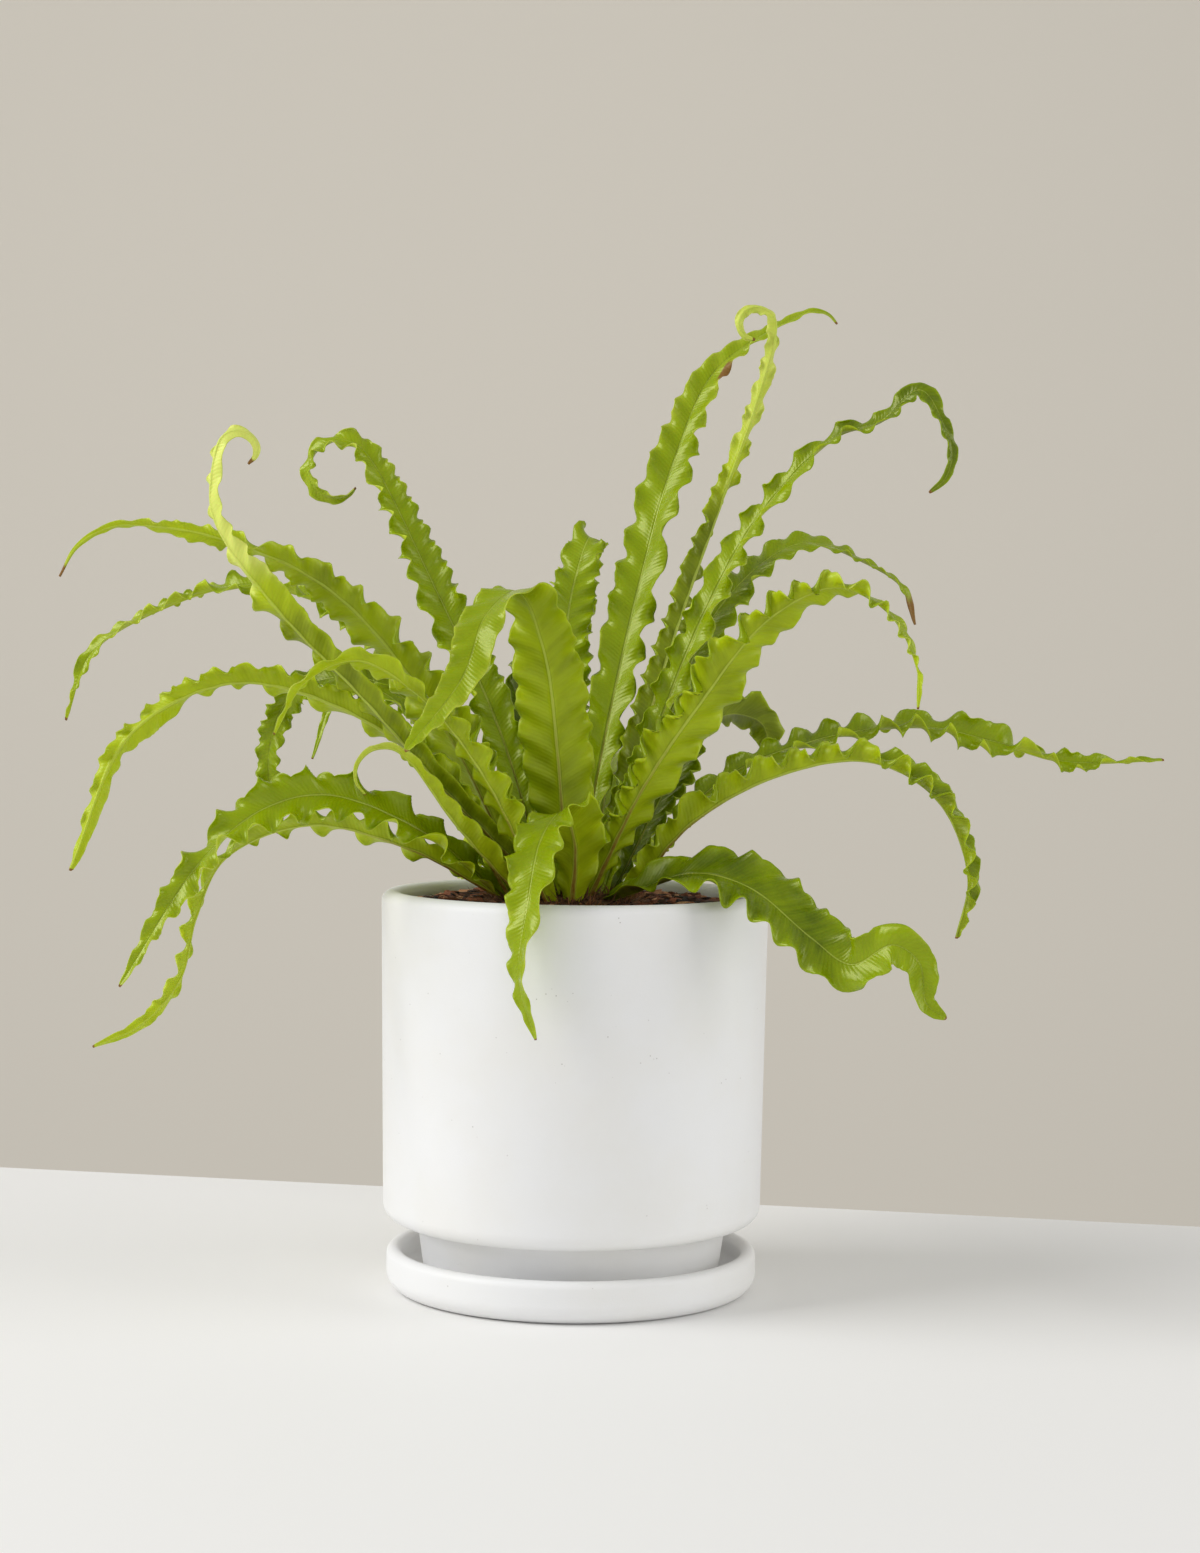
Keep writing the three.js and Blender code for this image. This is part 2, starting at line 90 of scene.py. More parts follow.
FRONDS = {
    "frond_left_1": dict(
        ring="middle", bearing=212, width=32, peak=0.26, taper=1.3, fold=12, face=(5, 8, 0),
        path=[(-55, -30, 240), (-95, -36, 290), (-130, -41, 311), (-173, -46, 321)],
        curl=(36, -88), ruffle=(1.3, 0.9), lobes=(1, -1), brown=0.02),
    "frond_left_2": dict(
        ring="middle", bearing=160, width=20, taper=0.6, fold=22, face=(8, -6, 0),
        path=[(-60, 20, 240), (-100, 35, 285), (-145, 46, 300), (-185, 56, 290)],
        curl=(60, -74), ruffle=(1.2, 1.1)),
    "frond_left_3": dict(
        ring="middle", bearing=245, width=15, peak=0.7, taper=0.75, fold=24, face=(7, 7, 0),
        path=[(-55, -46, 216), (-85, -56, 250), (-125, -65, 292), (-147, -66, 325),
              (-146, -66, 350)],
        curl=(9, 240), ruffle=(0.3, 1), lobes=(1, -1), tone=(0.3, 1.15), brown=0.01),
    "frond_left_4": dict(
        ring="inner", bearing=145, width=20, peak=0.5, taper=0.6, face=(3, -9, 0),
        path=[(-35, 26, 240), (-65, 41, 302), (-94, 55, 357)], curl=(15, -300),
        twist=[(0.6, 0), (0.8, 25)], ruffle=(1.1, 1), stretch=0.75),
    "frond_left_5": dict(
        ring="outer", bearing=222, width=18, taper=0.5, fold=38, face=(6, 8, 0),
        path=[(-60, -38, 222), (-100, -50, 249), (-140, -64, 257), (-178, -76, 236),
              (-200, -86, 182)],
        twist=[(0.66, 0), (0.78, 70)], ruffle=(1.2, 0.6)),
    "frond_left_6": dict(
        ring="outer", bearing=256, width=17, taper=0.6, face=(7, 7, 0),
        path=[(-38, -54, 222), (-62, -64, 252), (-88, -73, 267), (-108, -79, 258),
              (-120, -82, 237)],
        ruffle=(0.9, 0.8), tone=(0.45, 0.55)),
    "frond_left_7": dict(
        ring="outer", bearing=165, width=14, face=(8, -6, 0),
        path=[(-60, 4, 227), (-85, 7, 254), (-103, 6, 251), (-113, 0, 225)], tone=(0.3, 0.5)),
    "frond_left_8": dict(
        ring="outer", bearing=145, width=17, peak=0.5, taper=0.4, face=(5, -8, 0),
        path=[(-55, 48, 228), (-95, 64, 259), (-130, 76, 252), (-141, 82, 224),
              (-137, 86, 188)],
        twist=[(0.5, 0), (0.75, -75)], ruffle=(0.9, 0.9), lobes=(1.8, 1.8),
        stretch=0.65, tone=(0.3, 0.4)),
    "frond_left_9": dict(
        ring="outer", bearing=205, width=22, peak=0.55, taper=0.8, face=(7, -4, 5),
        path=[(-62, -44, 196), (-100, -62, 212), (-124, -74, 207), (-148, -86, 186),
              (-177, -104, 138)],
        ruffle=(1.1, 1.1), lobes=(1.7, 1.5), stretch=1.1),
    "frond_left_10": dict(
        ring="outer", bearing=186, width=18, taper=0.7, fold=22, face=(7, 5, 3),
        path=[(-70, -13, 188), (-112, -22, 198), (-146, -30, 184), (-157, -35, 160),
              (-163, -40, 134), (-178, -46, 116), (-197, -50, 107)],
        ruffle=(1.1, 1), lobes=(1.5, 1.5), stretch=1.15, tone=(0.5, 0.6)),
    "frond_left_11": dict(
        ring="outer", bearing=235, width=15, taper=1.2, fold=45, face=(8, 6, 0),
        path=[(-50, -49, 202), (-67, -59, 226)], curl=(13, -200), ruffle=(0.4, 0.2),
        tone=(0.45, 0.75)),
    "frond_front_1": dict(
        ring="middle", bearing=275, width=28, peak=0.36, taper=0.55, fold=12, face=(0, 1, 0),
        path=[(-8, -22, 230), (-14, -27, 272), (-24, -36, 296), (-37, -52, 286),
              (-46, -68, 260), (-67, -89, 231)],
        twist=[(0.42, 0), (0.66, -62)], ruffle=(0.45, 0.45)),
    "frond_front_2": dict(
        ring="outer", bearing=278, width=27, peak=0.4, taper=0.85, fold=10, face=(0, 1, 0),
        path=[(0, -40, 192), (-5, -55, 206), (-13, -70, 196), (-18, -88, 170),
              (-21, -94, 142), (-14, -96, 118)],
        ruffle=(0.5, 0.6)),
    "frond_right_1": dict(
        ring="inner", bearing=50, width=22, peak=0.58, taper=0.85, face=(-4, -9, 0),
        path=[(14, 28, 245), (27, 45, 305), (42, 60, 360), (60, 72, 400), (97, 84, 426)],
        curl=(14, 95), ruffle=(0.6, 0.7), stretch=1.15, lobes=(-1, 1), scar=0.79),
    "frond_right_2": dict(
        ring="middle", bearing=15, width=16, peak=0.25, taper=0.5, fold=46, face=(-7, 6, 0),
        path=[(28, 18, 235), (45, 31, 290), (63, 37, 342), (76, 35, 380), (84, 28, 412)],
        curl=(9, -290), ruffle=(1.2, 1.1), tone=(0.2, 0.85)),
    "frond_right_3": dict(
        ring="middle", bearing=345, width=17, peak=0.35, taper=0.62, face=(-6, -7, 0),
        path=[(32, 2, 232), (53, 4, 287), (76, 0, 330), (108, -8, 364), (126, -14, 370),
              (142, -18, 383), (152, -23, 367)],
        curl=(21, 95), ruffle=(1.1, 1.1), tone=(0.46, 0.2)),
    "frond_right_4": dict(
        ring="middle", bearing=48, width=22, peak=0.5, taper=0.85, fold=10, face=(-5, -8, 0),
        path=[(38, 46, 238), (65, 65, 296), (100, 78, 323), (130, 86, 315)], curl=(32, 75),
        ruffle=(0.8, 0.8), tone=(0.3, 0.35), brown=0.05),
    "frond_right_5": dict(
        ring="middle", bearing=310, width=28, peak=0.42, taper=0.95, fold=12, face=(-4, 9, 0),
        path=[(27, -30, 214), (50, -42, 250), (78, -53, 286), (105, -61, 299),
              (126, -68, 288), (137, -73, 265), (137, -74, 250)],
        twist=[(0.58, 0), (0.74, 40), (0.84, 40), (0.95, 0)],
        ruffle=(0.5, 1.7), stretch=0.85, lobes=(-1, 1)),
    "frond_right_6": dict(
        ring="outer", bearing=342, width=21, taper=0.5, fold=54, face=(-8, 6, 0),
        path=[(48, -22, 200), (85, -36, 222), (122, -50, 228), (148, -62, 212),
              (159, -69, 182), (154, -72, 158)],
        ruffle=(0.7, 1.3), stretch=0.8, tone=(0.5, 0.3)),
    "frond_right_7": dict(
        ring="outer", bearing=18, width=17, peak=0.68, taper=0.7, face=(-7, -7, 0),
        path=[(60, 26, 214), (100, 40, 233), (150, 52, 241), (185, 60, 235), (218, 66, 226),
              (265, 72, 227)],
        ruffle=(1.3, 1.4), stretch=1.2, tone=(0.35, 0.5)),
    "frond_right_8": dict(
        ring="outer", bearing=42, width=24, peak=0.75, taper=0.5, face=(-5, -8, 0),
        path=[(46, 60, 222), (66, 78, 245), (84, 89, 241), (88, 92, 226)],
        twist=[(0.45, 0), (0.7, -64)], ruffle=(1.1, 1.1), lobes=(-1.8, -1.8), stretch=0.6,
        tone=(0.2, 0.2)),
    "frond_right_9": dict(
        ring="outer", bearing=320, width=29, peak=0.42, taper=0.6, face=(1, -5, 8),
        path=[(50, -48, 181), (72, -62, 176), (95, -75, 158), (111, -83, 148),
              (127, -92, 157), (137, -93, 150), (140, -93, 134), (148, -93, 128)],
        twist=[(0.55, 0), (0.75, 60)], ruffle=(0.55, 0.55), stretch=1.2,
        tone=(0.2, 0.45)),
    "frond_back_1": dict(
        ring="middle", bearing=92, width=23, peak=0.4, taper=0.6, fold=8, face=(0, -1, 0),
        path=[(-7, 34, 245), (-4, 43, 295), (4, 64, 324), (2, 86, 300), (-1, 98, 258)],
        ruffle=(1, 1), stretch=0.7, tone=(0.4, 0.45)),
    "frond_back_2": dict(
        ring="outer", bearing=112, width=18, taper=0.7, face=(1, -3, 0),
        path=[(-25, 56, 236), (-28, 76, 262), (-27, 98, 258), (-23, 120, 232)],
        tone=(0.1, 0.15)),
    "frond_back_3": dict(
        ring="outer", bearing=128, width=19, taper=0.7, face=(4, -6, 4),
        path=[(-38, 75, 198), (-46, 108, 192), (-52, 140, 162), (-56, 165, 118)]),
    "frond_back_4": dict(
        ring="outer", bearing=65, width=20, taper=0.7, face=(-1, -7, 2),
        path=[(15, 84, 222), (21, 120, 225), (24, 160, 192), (18, 185, 140)]),
    "frond_back_5": dict(
        ring="outer", bearing=54, width=18, taper=0.7, face=(-2, -7, 4),
        path=[(21, 60, 181), (30, 94, 184), (37, 126, 160), (42, 146, 118)],
        tone=(0.3, 0.4)),
    "frond_back_6": dict(
        ring="outer", bearing=105, width=17, taper=0.7, face=(2, -7, 4),
        path=[(-19, 58, 180), (-25, 92, 180), (-32, 124, 156), (-36, 142, 118)],
        tone=(0.4, 0.5)),
    "frond_back_7": dict(
        ring="outer", bearing=88, width=17, taper=0.7, face=(0, -7, 3),
        path=[(-5, 75, 202), (-4, 106, 200), (0, 140, 176), (5, 165, 130)], tone=(0.3, 0.4)),
}


# ---------------------------------------------------------------- numbers and meshes

def smooth(t):
    """Eases t from 0 to 1: three times its square less twice its cube, held at both ends."""
    t = np.clip(t, 0, 1)
    return t * t * (3 - 2 * t)


def unit(vectors):
    """Each vector divided by its own length."""
    return vectors / np.maximum(np.linalg.norm(vectors, axis=-1, keepdims=True), 1e-12)


def wander(rng, x, step):
    """A smooth random value from -1 to 1 at each x: random knots a step apart, eased between."""
    x = np.asarray(x) / step
    first = np.floor(x.min())
    knots = rng.uniform(-1, 1, int(x.max() - first) + 3)
    index = np.floor(x - first).astype(int)
    ease = smooth(x - first - index)
    return knots[index] * (1 - ease) + knots[index + 1] * ease


def hump(x, middle, spread):
    """A smooth hump, 1 at its middle: e to minus the square of the distance from it in spreads."""
    return np.exp(-((x - middle) / spread) ** 2)


def linear(red, green, blue):
    """The linear colour of an sRGB colour given from 0 to 255."""
    parts = np.array([red, green, blue]) / 255
    return tuple(np.where(parts <= 0.04045, parts / 12.92, ((parts + 0.055) / 1.055) ** 2.4))


def all_round(count):
    """Angles evenly spaced round a circle."""
    return np.arange(count) * 2 * np.pi / count


def polar(distance, bearing):
    """x and y of a point: its distance times the cosine and the sine of its bearing."""
    return distance * np.cos(bearing), distance * np.sin(bearing)


def ring_points(radius, height, bearing):
    """Rings of points about the Z axis, r cos a and r sin a, each at its height."""
    x, y = polar(radius, bearing)
    return np.stack([x, y, height + 0 * x], axis=-1)


def grid_faces(rows, columns, wrap=False):
    """The quads of a grid of points, numbered row by row. wrap joins the last column to the
    first."""
    row = np.arange(rows - 1)[:, None] * columns
    column = np.arange(columns if wrap else columns - 1)[None, :]
    following = (column + 1) % columns
    return np.stack([row + column, row + following, row + columns + following,
                     row + columns + column], axis=-1).reshape(-1, 4)


def capped_rings(rings, segments, downwards=False):
    """The faces over rings of points, numbered from the lowest ring up, or from the highest down.
    A fan closes the first ring at the point numbered after them all, and another closes the last
    ring at the point after that."""
    around = np.arange(segments)
    following = (around + 1) % segments
    last = (rings - 1) * segments
    start, end = rings * segments, rings * segments + 1
    blocks = [grid_faces(rings, segments, wrap=True),
              np.stack([following, around, np.full(segments, start)], axis=-1),
              np.stack([last + around, last + following, np.full(segments, end)], axis=-1)]
    return [block[:, ::-1] for block in blocks] if downwards else blocks


def copies(faces, count, points_each):
    """One shape's faces, repeated for count shapes whose points follow one another."""
    starts = np.arange(count)[:, None, None] * points_each
    return (faces[None] + starts).reshape(-1, faces.shape[1])


def make_piece(name, points, faces, material, fields=None, flat=False):
    """A mesh piece of the object in the row frame. faces is a list of arrays of face corners, and
    fields holds vector attributes, three numbers for each point."""
    mesh = bpy.data.meshes.new(name)
    corners = [face for block in faces for face in np.asarray(block).tolist()]
    mesh.from_pydata(np.asarray(points).reshape(-1, 3).tolist(), [], corners)
    for field, values in (fields or {}).items():
        attribute = mesh.attributes.new(field, "FLOAT_VECTOR", "POINT")
        attribute.data.foreach_set("vector", np.asarray(values, dtype=np.float32).ravel())
    mesh.validate()
    if not flat:
        mesh.shade_smooth()
    mesh.materials.append(material)
    piece = bpy.data.objects.new(name, mesh)
    bpy.context.scene.collection.objects.link(piece)
    return piece


def corner(radius, height, round_off, start, end, steps=10):
    """Points of a round corner in a profile: an arc about (radius, height) between two angles,
    in degrees."""
    across, up = polar(round_off, np.radians(np.linspace(start, end, steps + 1)))
    return np.stack([radius + across, height + up], axis=-1)


def fine_profile(parts, longest):
    """Joins the parts of a profile and splits each stretch that is longer than longest."""
    points = np.concatenate([np.atleast_2d(part) for part in parts])
    fine = [points[:1]]
    for start, end in zip(points[:-1], points[1:]):
        count = max(1, math.ceil(np.linalg.norm(end - start) / longest))
        share = np.arange(1, count + 1)[:, None] / count
        fine.append(start + (end - start) * share)
    return np.concatenate(fine)


def turned(name, profile, material, segments=192):
    """A turned piece: each profile point (r, z) goes round the Z axis, as r cos a, r sin a, z. A
    profile that starts and ends on the axis is closed there, and any other closes on itself."""
    on_axis = profile[0, 0] < 1e-9
    ring = profile[1:-1] if on_axis else profile[:-1]
    points = ring_points(ring[:, :1], ring[:, 1:], all_round(segments)).reshape(-1, 3)
    if on_axis:
        points = np.concatenate([points, [[0, 0, profile[0, 1]], [0, 0, profile[-1, 1]]]])
        faces = capped_rings(len(ring), segments)
    else:
        faces = [grid_faces(len(ring) + 1, segments, wrap=True) % len(points)]
    return make_piece(name, points, faces, material)


# ---------------------------------------------------------------- shader maths

class Wire:
    """An output socket that can be used in sums: each operator adds the Math node for it."""

    def __init__(self, paint, socket):
        self.paint = paint
        self.socket = socket

    def math(self, operation, *values):
        inputs = dict(enumerate(values))
        return self.paint.node("ShaderNodeMath", {"operation": operation}, inputs)

    def __add__(self, other):
        return self.math("ADD", self, other)

    def __radd__(self, other):
        return self.math("ADD", other, self)

    def __sub__(self, other):
        return self.math("SUBTRACT", self, other)

    def __rsub__(self, other):
        return self.math("SUBTRACT", other, self)

    def __mul__(self, other):
        return self.math("MULTIPLY", self, other)

    def __rmul__(self, other):
        return self.math("MULTIPLY", other, self)

    def __truediv__(self, other):
        return self.math("DIVIDE", self, other)

    def absolute(self):
        return self.math("ABSOLUTE", self)

    def sine(self):
        return self.math("SINE", self)

    def step(self, low, high):
        """0 below low and 1 above high, eased between. With low above high it falls instead."""
        return self.paint.node("ShaderNodeMapRange", {"interpolation_type": "SMOOTHSTEP"},
                               {"Value": self, "From Min": low, "From Max": high})


class Paint:
    """A material in the making. node() adds any node and gives its first output as a Wire."""

    def __init__(self, name):
        self.material = bpy.data.materials.new(name)
        self.material.use_nodes = True
        self.tree = self.material.node_tree
        self.tree.nodes.clear()

    def node(self, kind, settings=None, inputs=None, output=0):
        made = self.tree.nodes.new(kind)
        for key, value in (settings or {}).items():
            setattr(made, key, value)
        for key, value in (inputs or {}).items():
            if isinstance(value, Wire):
                self.tree.links.new(value.socket, made.inputs[key])
            else:
                made.inputs[key].default_value = value
        return Wire(self, made.outputs[output]) if made.outputs else None

    def place(self):
        """Where a point is on the object, in metres."""
        return self.node("ShaderNodeTexCoord", output="Object")

    def field(self, name):
        """The three parts of a vector attribute."""
        vector = self.node("ShaderNodeAttribute", {"attribute_name": name}, output="Vector")
        return self.parts(vector)

    def parts(self, vector):
        """The three numbers of a vector."""
        split = self.node("ShaderNodeSeparateXYZ", inputs={0: vector})
        return [Wire(self, socket) for socket in split.socket.node.outputs]

    def vector(self, x, y, z):
        return self.node("ShaderNodeCombineXYZ", inputs={0: x, 1: y, 2: z})

    def noise(self, where, scale, detail=3, roughness=0.55):
        return self.node("ShaderNodeTexNoise", inputs={
            "Vector": where, "Scale": scale, "Detail": detail, "Roughness": roughness})

    def mix(self, factor, first, second):
        """The first colour, turned into the second as factor goes from 0 to 1."""
        def colour(value):
            return value if isinstance(value, Wire) else (*value, 1)
        return self.node("ShaderNodeMix", {"data_type": "RGBA"},
                         {0: factor, 6: colour(first), 7: colour(second)}, output=2)

    def bump(self, height, distance, under=None):
        """Relief as deep as distance, in metres, on top of the relief under it."""
        inputs = {"Height": height, "Distance": distance}
        if under:
            inputs["Normal"] = under
        return self.node("ShaderNodeBump", inputs=inputs)

    def surface(self, **sockets):
        """Finishes the material with a Principled shader and gives the material."""
        inputs = {key.replace("_", " "): value for key, value in sockets.items()}
        shader = self.node("ShaderNodeBsdfPrincipled", inputs=inputs)
        self.node("ShaderNodeOutputMaterial", inputs={"Surface": shader})
        return self.material


# ---------------------------------------------------------------- finishes

# Noise scales and speck densities count for each metre, relief depths are in metres, and the
# numbers in a step or a mix are shares.

def ceramic_finish(name, settings):
    """Matte white bisque: a faint cloud of warmer white, a few tiny specks and a fine tooth."""
    paint = Paint(name)
    where = paint.place()
    cloud = paint.noise(where, 18, detail=4).step(0.35, 0.7)
    colour = paint.mix(cloud, settings.colour, settings.warm_colour)
    grains = paint.node("ShaderNodeTexVoronoi", {"feature": "F1"},
                        {"Vector": where, "Scale": settings.speck_density})
    rare = paint.noise(where, 70, detail=1).step(0.6, 0.68)
    speck = grains.step(0.11, 0.05) * rare
    colour = paint.mix(speck * 0.55, colour, settings.speck_colour)
    tooth = paint.noise(where, 1400, detail=2)
    waves = paint.noise(where, 60, detail=2)
    normal = paint.bump(tooth, 0.00004, under=paint.bump(waves, 0.00012))
    rough = settings.roughness + (tooth - 0.5) * 0.08 + speck * 0.1
    return paint.surface(Base_Color=colour, Roughness=rough, Normal=normal)


def frond_finish(settings):
    """Waxy living leaf. The blade's own attributes say how far along and across it a point is, in
    metres, which side it is on, and how young or dry the frond is there. A low tone also
    paints shade on fronds that lie in shade."""
    paint = Paint("frond")
    where = paint.place()
    along, across, share = paint.field("blade")
    under, tone, dry = paint.field("look")
    out = across.absolute()

    blotch = paint.noise(where, 55, detail=4)
    streaks = paint.noise(paint.vector((along - out * 0.6) * 260, out * 40, under), 1, detail=2)
    # tone is partly the frond's age and partly painted shade: fronds in shade have low tones and
    # take the dark old greens
    shade = tone + (blotch - 0.5) * 0.5 + (streaks - 0.5) * 0.22
    top = paint.mix(shade.step(0.0, 0.5), settings.old_and_shade_colour, settings.colour)
    top = paint.mix(shade.step(0.55, 1.05), top, settings.young_colour)
    below = paint.mix(shade.step(0.1, 0.6), settings.under_old_and_shade_colour, settings.under_colour)
    below = paint.mix(shade.step(0.6, 1.1), below, settings.under_young_colour)
    colour = paint.mix(under, top, below)

    pitch = settings.vein_pitch * MM
    ridges = ((along - out * 0.62) * (2 * math.pi / pitch) + blotch * 2.5).sine()
    veins = ridges.step(0.2, 1.0) * out.step(0.0004, 0.0016)
    colour = paint.mix(veins * 0.06, colour, settings.vein_colour)

    rib_half = (1 - share * 0.65) * (settings.rib_width * MM)
    rib = (out / rib_half).step(0.9, 0.5)
    colour = paint.mix(rib * (0.85 - share * 0.6), colour, settings.rib_colour)
    # Painted shade: a thin dark old-green line along each side of the midrib stands for the shade
    # beside the raised rib
    outline = (out / rib_half).step(0.75, 1.0) * (out / rib_half).step(1.5, 1.1)
    colour = paint.mix(outline * (0.5 - share * 0.4), colour, settings.old_and_shade_colour)
    foot = share.step(0.42, 0.08) * (out / rib_half).step(0.75, 0.25)
    fibre = paint.noise(paint.vector(along * 300, across * 2500, 0), 1, detail=2)
    colour = paint.mix(foot * (0.3 + fibre * 0.9), colour, settings.foot_colour)

    scorch = (dry + (blotch - 0.5) * 0.5).step(0.45, 0.75)
    colour = paint.mix(scorch, colour, settings.dry_colour)

    wax = paint.noise(where, 180, detail=3)
    rough = settings.roughness + under * 0.14 + (wax - 0.5) * 0.16 + scorch * 0.3
    relief = ridges * 0.12 + streaks * 0.4
    normal = paint.bump(wax, 0.00018, under=paint.bump(relief, 0.00022 * settings.vein_relief))
    return paint.surface(Base_Color=colour, Roughness=rough, Normal=normal,
                         Subsurface_Weight=0.12, Subsurface_Radius=(0.4, 1.0, 0.15),
                         Subsurface_Scale=0.0012, Specular_IOR_Level=0.42,
                         Specular_Tint=(1, 1, 0.45, 1), Coat_Weight=0.08, Coat_Roughness=0.15)


def soil_finish(settings):
    """Damp potting mix: brown crumbs, darker in the hollows between them, partly the mix's own dark
    and partly painted shade, with lighter peaty patches.
    """
    paint = Paint("soil")
    where = paint.place()
    crumbs = paint.noise(where, 420, detail=6, roughness=0.7)
    patches = paint.noise(where, 70, detail=3)
    # Low crumbs take the dark colour: partly the mix's own dark, partly painted shade in the
    # hollows
    colour = paint.mix(crumbs.step(0.35, 0.68), settings.dark_and_shade_colour, settings.colour)
    colour = paint.mix(patches.step(0.55, 0.75) * 0.5, colour, settings.light_colour)
    normal = paint.bump(crumbs, 0.0015)
    return paint.surface(Base_Color=colour, Roughness=0.9 - patches * 0.15, Normal=normal)


def bark_finish(settings):
    """Composted bark: each chip has a tone of its own, with a grain along it."""
    paint = Paint("bark")
    where = paint.place()
    tone, _, _ = paint.field("chip")
    grain = paint.noise(where, 900, detail=5, roughness=0.7)
    colour = paint.mix(tone.step(0.1, 0.7), settings.dark_and_shade_colour, settings.bark_colour)
    colour = paint.mix(tone.step(0.75, 1.0), colour, settings.bark_light_colour)
    colour = paint.mix(grain.step(0.45, 0.7) * 0.5, colour, settings.dark_and_shade_colour)
    return paint.surface(Base_Color=colour, Roughness=0.85 + (grain - 0.5) * 0.2,
                         Normal=paint.bump(grain, 0.0006))


def crown_finish(settings):
    """Dry scales and root hairs, brown with paler ends."""
    paint = Paint("crown")
    tone, reach, _ = paint.field("chip")
    grain = paint.noise(paint.place(), 800, detail=4)
    colour = paint.mix(tone * 0.7 + reach * 0.4, settings.scale_dark, settings.scale_light)
    colour = paint.mix(grain.step(0.5, 0.75) * 0.4, colour, settings.scale_dark)
    return paint.surface(Base_Color=colour, Roughness=0.8 + (grain - 0.5) * 0.2,
                         Normal=paint.bump(grain, 0.0005))


def plain_finish(name, colour, roughness):
    """A plain studio surface with a hint of unevenness."""
    paint = Paint(name)
    cloud = paint.noise(paint.place(), 3, detail=2)
    tint = paint.mix(cloud * 0.12, colour, tuple(part * 0.94 for part in colour))
    return paint.surface(Base_Color=tint, Roughness=roughness + (cloud - 0.5) * 0.04)


# ---------------------------------------------------------------- the planter

def saucer_profile(settings):
    """The saucer's closed outline, from the axis under its floor round the lip to the axis."""
    radius, height = SAUCER_HIGH[0], SAUCER_HIGH[2]
    wall, floor = settings.saucer_wall * MM, settings.saucer_floor * MM
    outer_round, lip, cove = 8 * MM, settings.saucer_wall * MM / 2, 4 * MM
    foot_edge = 1.2 * MM
    return fine_profile([
        [0, foot_edge],
        [radius - outer_round - 6 * MM, foot_edge],
        [radius - outer_round - 5 * MM, 0],
        corner(radius - outer_round, outer_round, outer_round, -90, 0, steps=16),
        corner(radius - lip, height - lip, lip, 0, 180, steps=18),
        corner(radius - wall - cove, floor + cove, cove, 0, -90),
        [0, floor],
    ], 3 * MM)


def pot_profile(settings):
    """The pot's closed outline: its underside, foot ring, body, lip and inside."""
    radius, top = POT_HIGH[0], POT_HIGH[2]
    foot_bottom = POT_LOW[2]
    base = settings.pot_base_radius * MM
    body_bottom = settings.body_bottom * MM
    inner = radius - settings.pot_wall * MM
    floor_top = body_bottom + 8 * MM
    foot_top, foot_low, foot_wall = 66 * MM, 63 * MM, 8 * MM
    round_off, lip, edge, drain = 7 * MM, settings.pot_wall * MM / 2, 1.5 * MM, 8 * MM
    return fine_profile([
        [drain, body_bottom],
        [foot_top - foot_wall, body_bottom],
        corner(foot_low - foot_wall + edge, foot_bottom + edge, edge, 180, 270, steps=5),
        corner(foot_low - edge, foot_bottom + edge, edge, -90, 0, steps=5),
        corner(foot_top + 1.5 * MM, body_bottom - 1.5 * MM, 1.5 * MM, 180, 90, steps=5),
        corner(base - round_off, body_bottom + round_off, round_off, -90, 0, steps=14),
        corner(radius - lip, top - lip, lip, 0, 180, steps=18),
        corner(inner - round_off, floor_top + round_off, round_off, 0, -90),
        [drain, floor_top],
        [drain, body_bottom],
    ], 3 * MM)


# ---------------------------------------------------------------- soil and crown

def crown_top(distance):
    """Height of the crown's dome: a quarter cosine from its middle to its edge."""
    rise = CROWN_HIGH[2] - CROWN_LOW[2]
    return CROWN_LOW[2] + rise * np.cos(np.pi / 2 * np.minimum(1, distance / CROWN_RADIUS))


def soil_height(x, y):
    """Height of the crumbly top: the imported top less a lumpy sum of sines, lower at the wall."""
    lumps = (np.sin(x * 410 + 1.3 * np.sin(y * 233)) + np.sin(y * 373 + 1.1 * np.sin(x * 291))
             + 0.7 * np.sin(x * 907 + y * 613) + 0.6 * np.sin(y * 1033 - x * 571)
             + 0.4 * np.sin(x * 1910 + 2 * np.sin(y * 1270)) * np.sin(y * 2140))
    rim = smooth((np.hypot(x, y) - 0.062) / 0.012)
    return SOIL_HIGH[2] - (1.6 * rim + 0.9 - 0.33 * lumps) * MM


def soil_surface(material):
    """A disc of soil: rings r and angles a give r cos a, r sin a at soil_height, with a side wall
    and a flat underside that close it."""
    radius, segments = SOIL_HIGH[0], 240
    angles = all_round(segments)
    rings = np.linspace(0.6 * MM, radius - 0.2 * MM, 96)[:, None]
    top = ring_points(rings, soil_height(*polar(rings, angles)), angles)
    depths = np.array([SOIL_HIGH[2] - 12 * MM, SOIL_LOW[2]])[:, None]
    side = ring_points(radius + 0 * depths, depths, angles)
    ends = [[0, 0, soil_height(0, 0)], [0, 0, SOIL_LOW[2]]]
    points = np.concatenate([*top, *side, ends])
    faces = capped_rings(len(rings) + len(depths), segments, downwards=True)
    return make_piece("soil_surface", points, faces, material)


def chip_look(tone, reach=0):
    """The attribute that the bark and the crown read: the tone of the chip or strand that a point
    is on, and how far along it the point is."""
    return {"chip": np.stack([tone, reach + 0 * tone, 0 * tone], axis=-1)}


